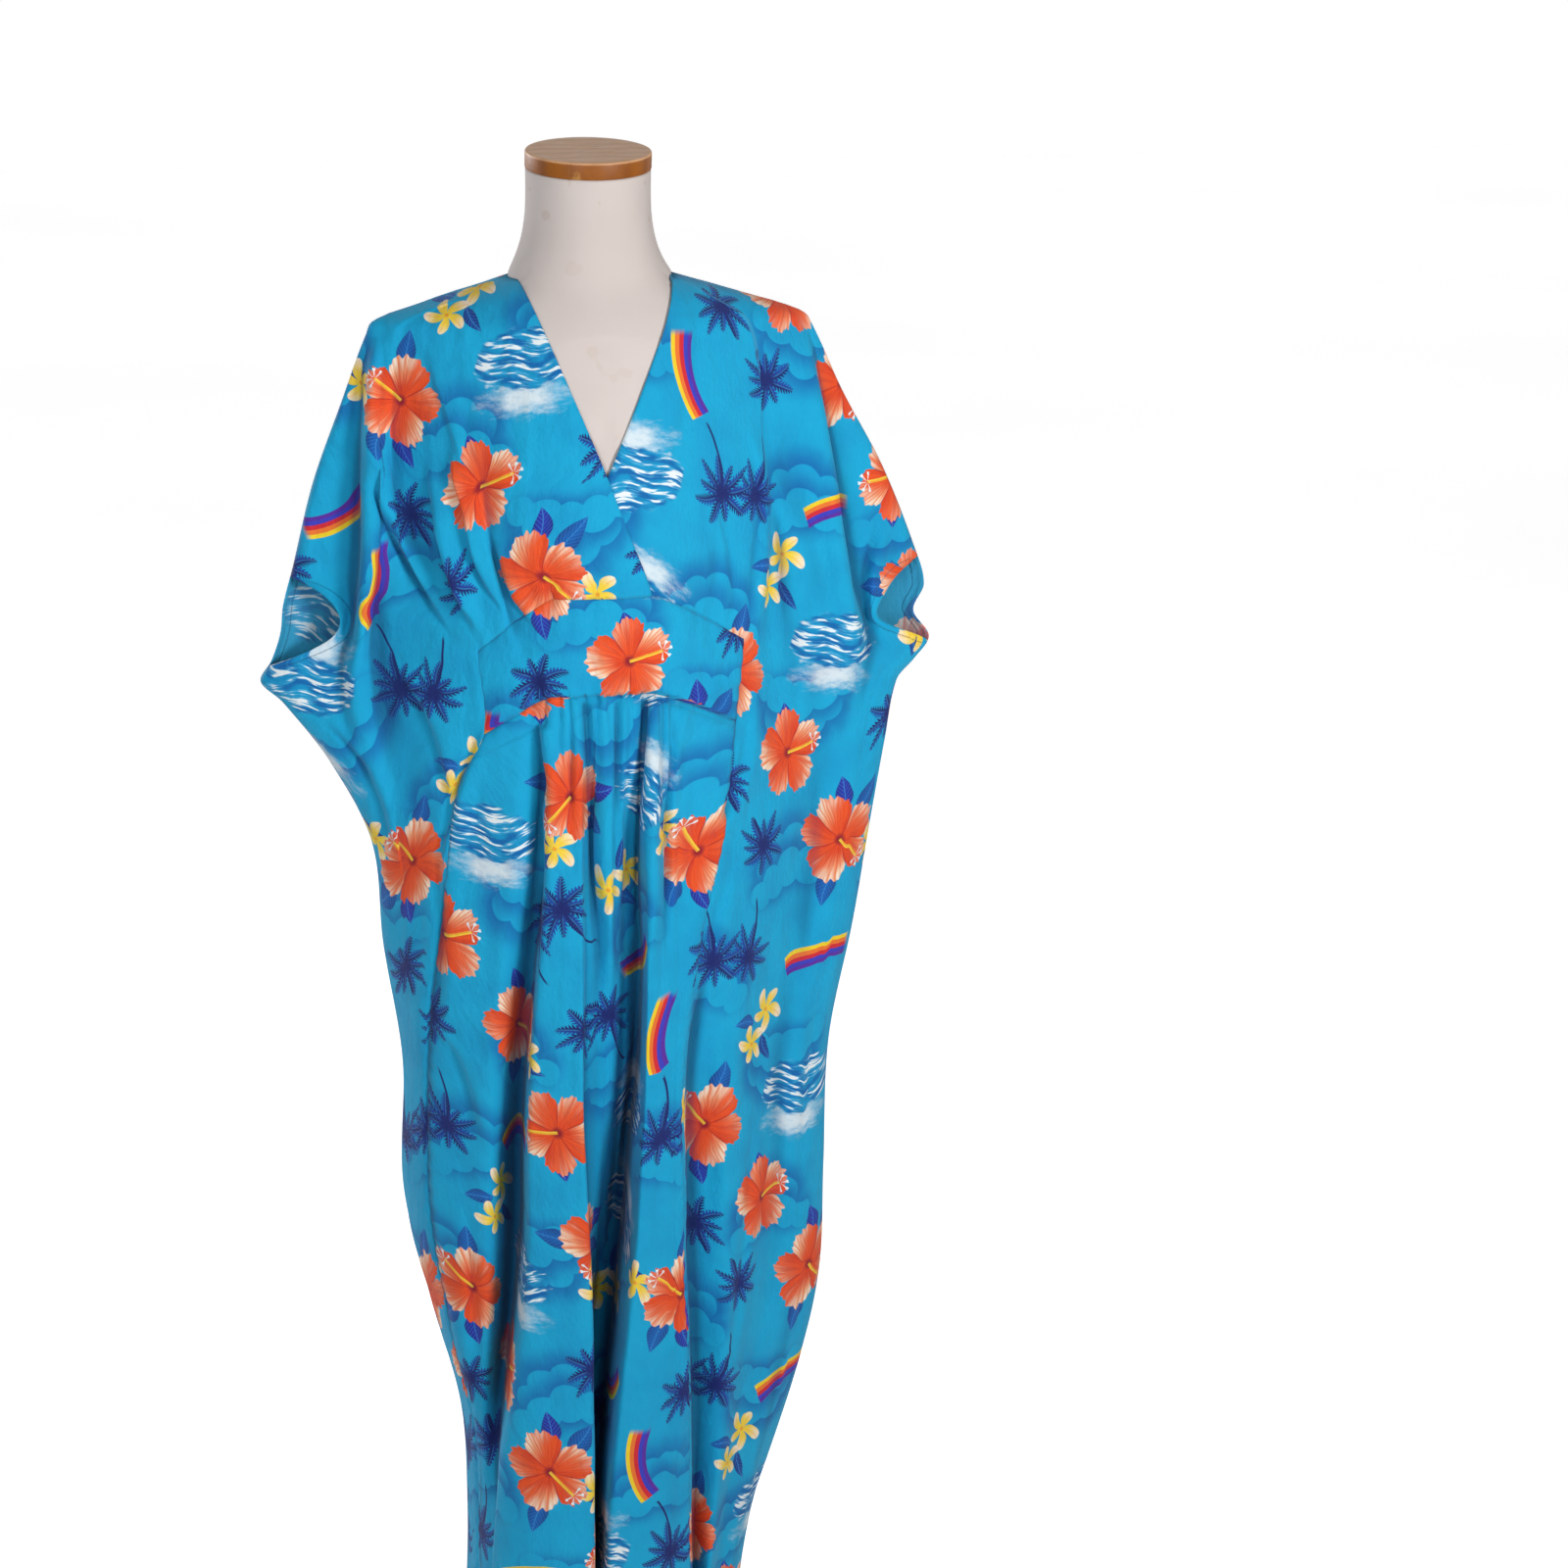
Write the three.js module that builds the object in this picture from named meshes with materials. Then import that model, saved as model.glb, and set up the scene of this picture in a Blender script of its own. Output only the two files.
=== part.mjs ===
// A loose ankle-length dress with batwing sleeves, worn by a limbless dress form on a stand.
// Millimetres, +Z up, the front faces -Y. The origin is on the floor, under the middle of the stand's base.
// "Left" and "right" are as seen from the front, so left is -X. The lapped front lies on the left.
import * as THREE from "three";

// Cloth
const WALL = 1.2; // thickness of the cloth wall
const SEAM_SHIFT = 0.25; // how far a piece's edge is drawn back from a seam
const UNDER_SHORT = 1.2; // the under front ends this far above the band, whose edge bends at other places
const LAP_RISE = 1.9; // the lapped front lies this far out from the one under it
const LAP_FLAT = 92; // width of the lap that lies at its full rise
const LAP_RAMP = 26; // beyond it the lap comes down over this width

// Dress form and stand
const FORM_LIFT = 1.9; // the form's shoulders lie this far below the outside of the cloth
const FORM_CLEAR = 2.9; // the form's chest and back lie at least this far inside it
const FORM_SIDE = 1.6; // and its shoulders' ends this far
const FORM_RING = 44;
const NECK_TILT = THREE.MathUtils.degToRad(6); // the neck's top leans forward
const NECK_TOP = 1529;
const CAP = { radius: 58.5, thickness: 16, bevel: 1.5, gap: 0.3 };
const POLE = { radius: 14, gap: 0.3 };
const BASE = { radius: 150, thickness: 9, bevel: 2 };

const DRESS_COLOUR = 0x1f9fd0;
const FORM_COLOUR = 0xd9d2cb;
const WOOD_COLOUR = 0xb0703a;
const STEEL_COLOUR = 0x3a3b3d;

// Sections of the dress by height. left and right: reach of the sleeve or side from the middle.
// front and back: depth at the middle. edge: half thickness out near the sides.
// body: half width of the part that the torso fills out. lag: how far the sides lie behind the middle.
const SECTIONS = [
  { z: 1431, left: 76, right: 79, front: 62, back: 60, edge: 50, body: 90, lag: 0 },
  { z: 1424, left: 100, right: 103, front: 66, back: 64, edge: 42, body: 118, lag: 0 },
  { z: 1412, left: 142, right: 144, front: 73, back: 71, edge: 34, body: 160, lag: 0 },
  { z: 1394, left: 197, right: 200, front: 83, back: 79, edge: 27, body: 204, lag: 0 },
  { z: 1380, left: 207, right: 213, front: 90, back: 84, edge: 27, body: 210, lag: 2 },
  { z: 1315, left: 231, right: 245, front: 111, back: 95, edge: 30, body: 216, lag: 8 },
  { z: 1240, left: 258, right: 287, front: 124, back: 99, edge: 34, body: 222, lag: 14 },
  { z: 1160, left: 278, right: 321, front: 127, back: 97, edge: 38, body: 224, lag: 18 },
  { z: 1122, left: 288, right: 332, front: 125, back: 97, edge: 40, body: 224, lag: 19 },
  { z: 1096, left: 291, right: 322, front: 124, back: 98, edge: 42, body: 224, lag: 19 },
  { z: 1070, left: 300, right: 338, front: 124, back: 100, edge: 42, body: 224, lag: 18 },
  { z: 1050, left: 311, right: 324, front: 125, back: 102, edge: 42, body: 224, lag: 16 },
  { z: 1030, left: 291, right: 306, front: 127, back: 104, edge: 44, body: 222, lag: 14 },
  { z: 970, left: 247, right: 294, front: 131, back: 112, edge: 50, body: 220, lag: 10 },
  { z: 890, left: 209, right: 280, front: 135, back: 122, edge: 60, body: 218, lag: 6 },
  { z: 790, left: 200, right: 264, front: 138, back: 126, edge: 68, body: 215, lag: 3 },
  { z: 670, left: 183, right: 241, front: 140, back: 125, edge: 74, body: 212, lag: 0 },
  { z: 540, left: 184, right: 238, front: 140, back: 122, edge: 76, body: 210, lag: 0 },
  { z: 420, left: 159, right: 235, front: 138, back: 118, edge: 76, body: 205, lag: 0 },
  { z: 300, left: 129, right: 209, front: 134, back: 113, edge: 74, body: 190, lag: 0 },
  { z: 180, left: 123, right: 172, front: 130, back: 110, edge: 74, body: 175, lag: 0 },
  { z: 60, left: 126, right: 152, front: 128, back: 110, edge: 76, body: 170, lag: 0 },
];

// Rows of the cloth from the neck to the hem, by their height at the middle of the front,
// at the corners of the midriff band, and at the sides and all round the back.
const ROWS = [
  { centre: 1431, corner: 1431, side: 1431 },
  { centre: 1424, corner: 1424, side: 1424 },
  { centre: 1412, corner: 1412, side: 1412 },
  { centre: 1394, corner: 1394, side: 1394 },
  { centre: 1380, corner: 1380, side: 1380 },
  { centre: 1350, corner: 1348, side: 1346 },
  { centre: 1312, corner: 1304, side: 1300 },
  { centre: 1268, corner: 1254, side: 1250, name: "vPoint" },
  { centre: 1232, corner: 1206, side: 1200 },
  { centre: 1192, corner: 1156, side: 1150, name: "cuffTop" },
  { centre: 1172, corner: 1126, side: 1130 },
  { centre: 1151, corner: 1096, side: 1108, name: "bandTop" },
  { centre: 1120, corner: 1070, side: 1086 },
  { centre: 1089, corner: 1044, side: 1066, name: "cuffBottom" },
  { centre: 1058, corner: 1018, side: 1046, name: "bandBottom" },
  { centre: 1030, corner: 990, side: 1022 },
  { centre: 990, corner: 956, side: 985 },
  { centre: 940, corner: 915, side: 935 },
  { centre: 880, corner: 865, side: 880 },
  { centre: 815, corner: 808, side: 815 },
  { centre: 745, corner: 742, side: 745 },
  { centre: 670, corner: 670, side: 670 },
  { centre: 595, corner: 595, side: 595 },
  { centre: 520, corner: 520, side: 520 },
  { centre: 445, corner: 445, side: 445 },
  { centre: 370, corner: 370, side: 370 },
  { centre: 295, corner: 295, side: 295 },
  { centre: 215, corner: 215, side: 215 },
  { centre: 135, corner: 135, side: 135 },
  { centre: 60, corner: 60, side: 60, name: "hem" },
];
const BAND_FLAT = { left: -52, right: 42 }; // the band's long edges are level between these

// Lines that run down the cloth from side to side: seams, and the crests and valleys of folds.
// path: [height, x, depth], where depth is how far the line stands out from the plain surface.
// columns: how many cells lie between this line and the one before.
// Beyond its path a line keeps its share of the way between the seams on either side of it.
const FRONT_LINES = [
  { name: "leftSide", seam: true, side: "left" },
  { name: "left sleeve valley", columns: 5,
    path: [[1380, -203, 0], [1350, -211, -1], [1300, -213, -3], [1240, -216, -5], [1187, -218, -6],
      [1140, -224, -6], [1110, -226, -6], [1075, -236, -5], [1030, -236, -3], [980, -226, 0]] },
  { name: "left body edge", columns: 1,
    path: [[1380, -196, 0], [1350, -204, 9], [1300, -206, 14], [1240, -209, 17], [1187, -211, 19],
      [1140, -217, 19], [1110, -219, 18], [1075, -226, 16], [1030, -226, 10], [980, -214, 0]] },
  { name: "left drape", columns: 1,
    path: [[1350, -194, 2], [1300, -198, 4], [1200, -199, 4], [1130, -205, 0], [1100, -205, -6],
      [1050, -197, -9], [1000, -192, -9], [937, -188, -6], [850, -182, 0]] },
  { name: "left diagonal", columns: 3,
    path: [[1350, -182, 0], [1286, -186, -5], [1239, -184, -8], [1196, -176, -10], [1159, -160, -10],
      [1120, -143, -7], [1096, -135, -2], [1060, -130, 0]] },
  { name: "bandLeft", seam: true, columns: 3,
    path: [[1431, -73, 0], [1412, -106, 0], [1394, -134, 0], [1350, -142, 0], [1254, -132, 0],
      [1156, -122, 0], [1096, -118, 0], [1018, -113, 0], [970, -135, 0], [880, -146, 0],
      [801, -156, 0], [728, -163, 0], [600, -166, 0], [520, -163, 0], [440, -151, 0],
      [365, -137, 0], [300, -123, 0], [206, -118, 0], [60, -119, 0]] },
  { name: "left drape end", columns: 3,
    path: [[1260, -124, 0], [1151, -100, 0], [1056, -84, 0], [979, -84, -2], [897, -86, -3],
      [746, -106, -5], [598, -113, -8], [443, -116, -9], [365, -117, -7], [300, -117, -3],
      [206, -116, -2], [60, -117, -2]] },
  { name: "left valley", columns: 2,
    path: [[1290, -112, 0], [1200, -104, -5], [1130, -88, -6], [1110, -80, -2], [1056, -64, -3],
      [979, -63, -9], [897, -62, -13], [800, -73, -18], [746, -77, -21], [673, -82, -25],
      [598, -85, -30], [520, -85, -33], [443, -90, -33], [365, -99, -26], [287, -109, -10],
      [206, -113.5, 0], [60, -114.5, 0]] },
  { name: "left fold, outer edge", columns: 1,
    path: [[1290, -96, 0], [1200, -84, 0], [1130, -70, 0], [1056, -56, 0], [979, -56, 2],
      [897, -55, 3], [800, -66, 3], [746, -70, 3], [673, -75, 3], [598, -78, 3], [520, -78, 4],
      [443, -83, 8], [365, -92, 15], [287, -104, 28], [206, -110, 36], [60, -111, 38]] },
  { name: "left fold, inner edge", columns: 3,
    path: [[1200, -52, 0], [1130, -44, 0], [1056, -34, 0], [979, -28, 2], [897, -27, 3],
      [746, -27, 4], [594, -24, 4], [516, -20, 4], [439, -17, 4], [359, -15, 6], [280, -14, 8],
      [198, -14, 10], [60, -14, 10]] },
  { name: "recess", columns: 1,
    path: [[1200, -44, 0], [1130, -36, 0], [1056, -27, -2], [979, -22, -5], [897, -21, -7],
      [746, -22, -9], [670, -22, -12], [594, -20, -18], [516, -16, -24], [439, -14, -32],
      [359, -12, -40], [280, -11.5, -46], [60, -11.5, -52]] },
  { name: "gather 1", columns: 1,
    path: [[1200, -22, 0], [1130, -18, 0], [1056, -14, -5], [979, -11, -10], [897, -10, -12],
      [820, -9, -12], [746, -8, -14], [670, -7, -18], [594, -6, -24], [516, -4, -32],
      [439, -5, -42], [359, -7, -50], [280, -9, -56], [60, -9.5, -64]] },
  { name: "between the gathers", columns: 1,
    path: [[1200, -8, 0], [1130, -5, 0], [1056, -4, 0], [979, 0, -1], [897, 0, -2], [820, 2, -5],
      [746, 4, -14], [670, 5, -20], [594, 5, -28], [516, 4, -38], [439, 1, -48], [359, -4, -57],
      [280, -7.5, -64], [60, -8.3, -74]] },
  { name: "gather 2", columns: 1,
    path: [[1200, 5, 0], [1130, 10, 0], [1056, 6, -5], [979, 9, -9], [897, 11, -12], [820, 14, -14],
      [746, 16, -20], [670, 18, -26], [594, 16, -36], [516, 13, -46], [439, 6, -56],
      [359, -1, -64], [280, -6, -70], [60, -7, -80]] },
  { name: "lap", seam: true, columns: 2,
    path: [[1268, -4, 0], [1214, 16, 0], [1151, 40, 0], [1110, 38, 0], [1056, 35, -4],
      [979, 34, -10], [897, 33, -14], [820, 32, -19], [746, 31, -26], [670, 30, -34],
      [594, 26, -44], [516, 21, -54], [439, 13, -62], [359, 5, -69], [280, -1, -75],
      [198, -4, -80], [60, -5, -84]] },
  { name: "right fold, inner edge", columns: 1,
    path: [[1200, 34, 0], [1151, 52, 0], [1110, 46, 0], [1056, 42, 0], [979, 40, 2], [897, 38, 3],
      [746, 36, 4], [670, 34, 4], [594, 30, 4], [516, 26, 4], [439, 19, 4], [359, 11, 4],
      [280, 4, 5], [198, 1, 6], [60, 0, 6]] },
  { name: "right fold, outer edge", columns: 3,
    path: [[1290, 112, 0], [1200, 106, -4], [1125, 94, -5], [1100, 82, 0], [1056, 61, -3],
      [979, 60, -7], [897, 60, -8], [820, 60, -4], [746, 62, 0], [594, 60, 3], [60, 66, 5]] },
  { name: "bandRight", seam: true, columns: 3,
    path: [[1431, 76, 0], [1412, 110, 0], [1394, 138, 0], [1350, 150, 0], [1254, 146, 0],
      [1156, 140, 0], [1096, 137, 0], [1018, 130, 0], [940, 119, 0], [886, 108, 0], [831, 96, 0],
      [780, 88, 0], [750, 83, 0], [710, 75, 2], [640, 71, 3], [590, 72, 3], [510, 74, 3],
      [432, 78, 4], [352, 84, 5], [272, 86, 5], [60, 89, 5]] },
  { name: "right valley", columns: 1,
    path: [[860, 112, 0], [780, 98, -5], [710, 84, -11], [590, 81, -15], [450, 86, -16],
      [300, 94, -18], [60, 97, -20]] },
  { name: "right gather", columns: 3,
    path: [[1370, 148, 0], [1300, 158, -5], [1200, 162, -8], [1130, 162, -8], [1096, 163, -6],
      [1000, 166, -2], [900, 165, 0]] },
  { name: "right body edge", columns: 3,
    path: [[1380, 202, 0], [1350, 209, 10], [1308, 216, 16], [1244, 226, 19], [1174, 236, 21],
      [1116, 250, 21], [1079, 256, 16], [1030, 250, 7], [970, 232, -4], [900, 215, -8],
      [700, 186, -12], [450, 172, -12], [250, 140, -10], [60, 118, -10]] },
  { name: "right sleeve valley", columns: 1,
    path: [[1380, 208, 0], [1350, 216, -1], [1308, 224, -3], [1244, 236, -5], [1174, 246, -6],
      [1116, 262, -6], [1079, 274, -5], [1040, 272, -2], [1000, 262, 0]] },
  { name: "rightSide", seam: true, side: "right", columns: 5 },
];
const BACK_LINES = [
  { name: "leftSide", seam: true, side: "left" },
  { name: "left sleeve valley", columns: 5,
    path: [[1380, -203, 0], [1300, -214, -3], [1150, -226, -5], [1040, -232, -2], [980, -222, 0]] },
  { name: "left body edge", columns: 2,
    path: [[1380, -190, 0], [1300, -202, 12], [1150, -212, 17], [1040, -214, 10], [960, -200, 0]] },
  { name: "left blade", columns: 4,
    path: [[1240, -124, 0], [1000, -128, -10], [700, -128, -24], [400, -100, -30], [60, -84, -34]] },
  { name: "left crest", columns: 3,
    path: [[1240, -86, 0], [1000, -88, 3], [700, -86, 4], [400, -70, 2], [60, -58, 2]] },
  { name: "left middle", columns: 2,
    path: [[1200, -50, 0], [1000, -50, -6], [700, -46, -22], [400, -38, -32], [60, -32, -38]] },
  { name: "middle crest", columns: 2,
    path: [[1240, -6, 0], [1000, -4, 3], [700, -2, 4], [400, 0, 4], [60, 0, 4]] },
  { name: "right middle", columns: 2,
    path: [[1220, 40, 0], [1000, 44, -8], [700, 46, -24], [400, 42, -34], [60, 36, -38]] },
  { name: "right crest", columns: 2,
    path: [[1240, 82, 0], [1000, 88, 3], [700, 90, 4], [400, 84, 2], [60, 64, 2]] },
  { name: "right blade", columns: 3,
    path: [[1240, 120, 0], [1000, 134, -10], [700, 138, -22], [400, 130, -28], [60, 96, -32]] },
  { name: "right body edge", columns: 4,
    path: [[1380, 196, 0], [1300, 212, 12], [1150, 236, 17], [1040, 240, 10], [960, 226, 0]] },
  { name: "right sleeve valley", columns: 2,
    path: [[1380, 208, 0], [1300, 226, -3], [1150, 252, -5], [1040, 262, -2], [980, 256, 0]] },
  { name: "rightSide", seam: true, side: "right", columns: 5 },
];

// The neck edges as [height, x]. The under front's goes on below the lap to the midriff band.
const NECK_EDGES = {
  lapped: [[1431, -70], [1268, -4]],
  under: [[1431, 73], [1268, -4], [1210, -30], [1151, -46]],
};

// The front edge of a sleeve's mouth is drawn in from the sleeve's outline by up to this much.
const CUFF_DRAW = { left: 52, right: 46 };

const rowNamed = (name) => ROWS.findIndex((row) => row.name === name);
const V_ROW = rowNamed("vPoint");
const CUFF_TOP = rowNamed("cuffTop");
const CUFF_BOTTOM = rowNamed("cuffBottom");
const BAND_TOP = rowNamed("bandTop");
const BAND_BOTTOM = rowNamed("bandBottom");
const HEM = rowNamed("hem");

// Each line with the number of its column.
function numbered(lines) {
  let column = 0;
  return lines.map((line) => ({ ...line, column: (column += line.columns ?? 0) }));
}
const FRONT = numbered(FRONT_LINES);
const BACK = numbered(BACK_LINES);
const frontLine = (name) => FRONT.find((line) => line.name === name);
const LEFT_SEAM = frontLine("bandLeft");
const LAP = frontLine("lap");
const RIGHT_SEAM = frontLine("bandRight");
const FRONT_END = FRONT[FRONT.length - 1].column;
const BACK_END = BACK[BACK.length - 1].column;

// --------- numbers that vary with height
const mix = (a, b, t) => a + (b - a) * t;
const clamp01 = (t) => Math.min(1, Math.max(0, t));
const smooth = (t) => clamp01(t) ** 2 * (3 - 2 * clamp01(t));

// A smooth curve through rows ordered from high to low, each a [height, value], read at height z.
function alongHeight(rows, z, value = 1) {
  const last = rows.length - 1;
  if (z >= rows[0][0]) return rows[0][value];
  if (z <= rows[last][0]) return rows[last][value];
  const k = rows.findIndex((row) => row[0] <= z) - 1;
  const slope = (i) => {
    const a = rows[Math.max(0, i - 1)];
    const b = rows[Math.min(last, i + 1)];
    return (b[value] - a[value]) / (b[0] - a[0]);
  };
  const span = rows[k + 1][0] - rows[k][0];
  const t = (z - rows[k][0]) / span;
  return (
    (1 + 2 * t) * (1 - t) ** 2 * rows[k][value] +
    t * (1 - t) ** 2 * span * slope(k) +
    t * t * (3 - 2 * t) * rows[k + 1][value] +
    t * t * (t - 1) * span * slope(k + 1)
  );
}

const SECTION_ROWS = {};
for (const key of ["left", "right", "front", "back", "edge", "body", "lag"])
  SECTION_ROWS[key] = SECTIONS.map((section) => [section.z, section[key]]);
const size = (key, z) => alongHeight(SECTION_ROWS[key], z);
const reachAt = (x, z) => (x < 0 ? size("left", z) : size("right", z));

// --------- the dress's surface
// A point of the front or back with no folds but for extra, how far it stands out.
function surfacePoint(key, x, z, extra = 0) {
  const out = Math.min(1, Math.abs(x) / reachAt(x, z));
  const edge = size("edge", z);
  const torso = Math.max(0, 1 - (x / size("body", z)) ** 2) ** 1.5;
  const round = Math.sqrt(1 - out ** 2);
  const depth = edge * round + (size(key, z) - edge) * torso * smooth(round * 2.2) + extra;
  return new THREE.Vector3(x, (key === "front" ? -depth : depth) + size("lag", z) * out ** 2, z);
}

// Height of a row of the front at x.
function frontHeight(row, x) {
  const { centre, corner, side } = ROWS[row];
  const edge = alongHeight((x < 0 ? LEFT_SEAM : RIGHT_SEAM).path, corner);
  const flat = x < 0 ? BAND_FLAT.left : BAND_FLAT.right;
  const inward = (x - flat) / (edge - flat);
  if (inward <= 1) return mix(centre, corner, clamp01(inward) ** 1.15);
  const reach = x < 0 ? -size("left", side) : size("right", side);
  return mix(corner, side, smooth((x - edge) / (reach - edge)));
}

// How far the front's edge is drawn in along a sleeve's mouth.
function cuffDraw(row, side) {
  const through = (ROWS[CUFF_TOP].side - ROWS[row].side) / (ROWS[CUFF_TOP].side - ROWS[CUFF_BOTTOM].side);
  if (through <= 0 || through >= 1) return 0;
  return CUFF_DRAW[side] * Math.sin(Math.PI * through ** 0.85);
}

// The x and depth of a line at height z. neck names the neck edge that stands for the lap where it runs.
function lineAt(lines, index, z, neck) {
  const line = lines[index];
  if (line.side) return { x: (line.side === "left" ? -1 : 1) * size(line.side, z), depth: 0 };
  const edge = NECK_EDGES[neck];
  if (line === LAP && z > edge[edge.length - 1][0] - 1) return { x: alongHeight(edge, z), depth: 0 };
  const [top, bottom] = [line.path[0][0], line.path[line.path.length - 1][0]];
  const end = Math.min(top, Math.max(bottom, z));
  const own = { x: alongHeight(line.path, end, 1), depth: alongHeight(line.path, end, 2) };
  if (line.seam || end === z) return own;
  let [before, after] = [index - 1, index + 1];
  while (!lines[before].seam) before--;
  while (!lines[after].seam) after++;
  const [a, b] = [before, after].map((seam) => lineAt(lines, seam, end, neck).x);
  const [c, d] = [before, after].map((seam) => lineAt(lines, seam, z, neck).x);
  return { x: mix(c, d, (own.x - a) / (b - a)), depth: own.depth };
}

// Keeps the results of a function of a few numbers and names.
function remembered(make) {
  const known = new Map();
  return (...args) => {
    const id = args.join();
    if (!known.has(id)) known.set(id, make(...args));
    return known.get(id);
  };
}

// Where a line crosses a row: a row's height depends on x, so it is found in a few turns.
const frontLinePoint = remembered((index, row, neck) => {
  if (FRONT[index].side) {
    const { side } = FRONT[index];
    const reach = size(side, ROWS[row].side) - cuffDraw(row, side);
    return { x: side === "left" ? -reach : reach, depth: 0 };
  }
  let at = lineAt(FRONT, index, ROWS[row].corner, neck);
  for (let turn = 0; turn < 3; turn++) at = lineAt(FRONT, index, frontHeight(row, at.x), neck);
  return at;
});
const backLinePoint = remembered((index, row) => lineAt(BACK, index, ROWS[row].side, "lapped"));

// The x and depth at a column, between the lines on either side of it.
function between(lines, column, pointOfLine) {
  const after = Math.max(1, lines.findIndex((line) => line.column >= column));
  const t = (column - lines[after - 1].column) / (lines[after].column - lines[after - 1].column);
  const [a, b] = [pointOfLine(after - 1), pointOfLine(after)];
  let across = t;
  if (after === 1) across = mix(t, t * t, 0.5);
  if (after === lines.length - 1) across = 1 - mix(1 - t, (1 - t) ** 2, 0.5);
  return { x: mix(a.x, b.x, across), depth: mix(a.depth, b.depth, smooth(t)) };
}

const frontPoint = remembered((column, row, neck) => {
  const { x, depth } = between(FRONT, column, (index) => frontLinePoint(index, row, neck));
  return surfacePoint("front", x, frontHeight(row, x), depth);
});
const backPoint = remembered((column, row) => {
  const { x, depth } = between(BACK, column, (index) => backLinePoint(index, row));
  return surfacePoint("back", x, ROWS[row].side, depth);
});

// How far the lapped front stands out, by its distance from the lap's edge.
function lapRise(column, row) {
  const from = frontPoint(LAP.column, row, "lapped").x - frontPoint(column, row, "lapped").x;
  const below = smooth((1330 - ROWS[row].centre) / 60);
  return LAP_RISE * smooth((LAP_FLAT + LAP_RAMP - from) / LAP_RAMP) * below;
}

// --------- walls made from a grid of cells
// pointOf(column, row) is the outside of the cloth, last is the grid's last column, and cells lists the
// wall's [column, row] cells. turned is true where columns run clockwise as seen from above.
function wall(pointOf, last, cells, { turned = false, rise = () => 0 } = {}) {
  const key = (column, row) => column * 1000 + row;
  const inside = new Set(cells.map(([column, row]) => key(column, row)));
  const has = (column, row) => inside.has(key(column, row));
  const inGrid = ([c, r]) => c >= 0 && c < last && r >= 0 && r < HEM;
  const corners = new Map();
  const positions = [];

  const cellNormal = (c, r) => {
    const [a, b, d, e] = [pointOf(c, r), pointOf(c, r + 1), pointOf(c + 1, r + 1), pointOf(c + 1, r)];
    const normal = d.clone().sub(a).cross(e.clone().sub(b)).normalize();
    return turned ? normal.negate() : normal;
  };

  const addCorner = (column, row) => {
    const id = key(column, row);
    if (corners.has(id)) return corners.get(id);
    const here = pointOf(column, row).clone();
    const around = [[column - 1, row - 1], [column, row - 1], [column, row], [column - 1, row]];
    const normals = around.filter(inGrid).map(([c, r]) => cellNormal(c, r));
    const normal = normals.reduce((sum, one) => sum.add(one), new THREE.Vector3()).normalize();
    const thin = normals.reduce((sum, one) => sum + one.dot(normal), 0) / normals.length;
    const free = row > CUFF_TOP && row < CUFF_BOTTOM;
    if ((column === 0 || column === last) && !free) normal.setY(0).normalize();
    const own = around.filter(([c, r]) => has(c, r));
    if (own.length < 4) {
      const inward = new THREE.Vector3();
      for (const [c, r] of own) {
        const opposite = pointOf(c === column ? c + 1 : c, r === row ? r + 1 : r);
        inward.add(opposite.clone().sub(here).normalize());
      }
      here.addScaledVector(inward.normalize(), SEAM_SHIFT);
    }
    here.addScaledVector(normal, rise(column, row));
    const back = here.clone().addScaledVector(normal, -WALL / Math.max(0.7, thin));
    const index = positions.length / 3;
    positions.push(...here, ...back);
    corners.set(id, index);
    return index;
  };

  const faces = [];
  const quad = (a, b, c, d) => faces.push(...(turned ? [a, c, b, a, d, c] : [a, b, c, a, c, d]));
  for (const [column, row] of cells) {
    const a = addCorner(column, row);
    const b = addCorner(column, row + 1);
    const c = addCorner(column + 1, row + 1);
    const d = addCorner(column + 1, row);
    quad(a, b, c, d);
    quad(b + 1, a + 1, d + 1, c + 1);
    if (!has(column - 1, row)) quad(a + 1, b + 1, b, a);
    if (!has(column + 1, row)) quad(c + 1, d + 1, d, c);
    if (!has(column, row - 1)) quad(d + 1, a + 1, a, d);
    if (!has(column, row + 1)) quad(b + 1, c + 1, c, b);
  }
  return solid(positions, faces);
}

function solid(positions, faces) {
  const geometry = new THREE.BufferGeometry();
  geometry.setAttribute("position", new THREE.Float32BufferAttribute(positions, 3));
  geometry.setIndex(faces);
  geometry.computeVertexNormals();
  return geometry;
}

// All cells from one column and row to another, the ends left out.
function cellsIn(columns, rows) {
  const cells = [];
  for (let column = columns[0]; column < columns[1]; column++)
    for (let row = rows[0]; row < rows[1]; row++) cells.push([column, row]);
  return cells;
}

// --------- the pieces of the dress
const material = (color, roughness, metalness = 0) =>
  new THREE.MeshStandardMaterial({ color, roughness, metalness });
const cloth = material(DRESS_COLOUR, 0.75);

const mesh = (name, geometry, of) => {
  const made = new THREE.Mesh(geometry, of);
  made.name = name;
  return made;
};

const lappedPoint = (column, row) => frontPoint(column, row, "lapped");

function lappedFront() {
  const cells = [
    ...cellsIn([0, LEFT_SEAM.column], [0, HEM]),
    ...cellsIn([LEFT_SEAM.column, LAP.column], [0, BAND_TOP]),
  ];
  return wall(lappedPoint, FRONT_END, cells, { rise: lapRise });
}

function underFront() {
  const cells = [
    ...cellsIn([RIGHT_SEAM.column, FRONT_END], [0, HEM]),
    ...cellsIn([LAP.column, RIGHT_SEAM.column], [0, BAND_TOP]),
  ];
  const pointOf = (column, row) => {
    const point = frontPoint(column, row, "under").clone();
    if (row === BAND_TOP && column < RIGHT_SEAM.column) point.z += UNDER_SHORT;
    return point;
  };
  return wall(pointOf, FRONT_END, cells);
}

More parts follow.
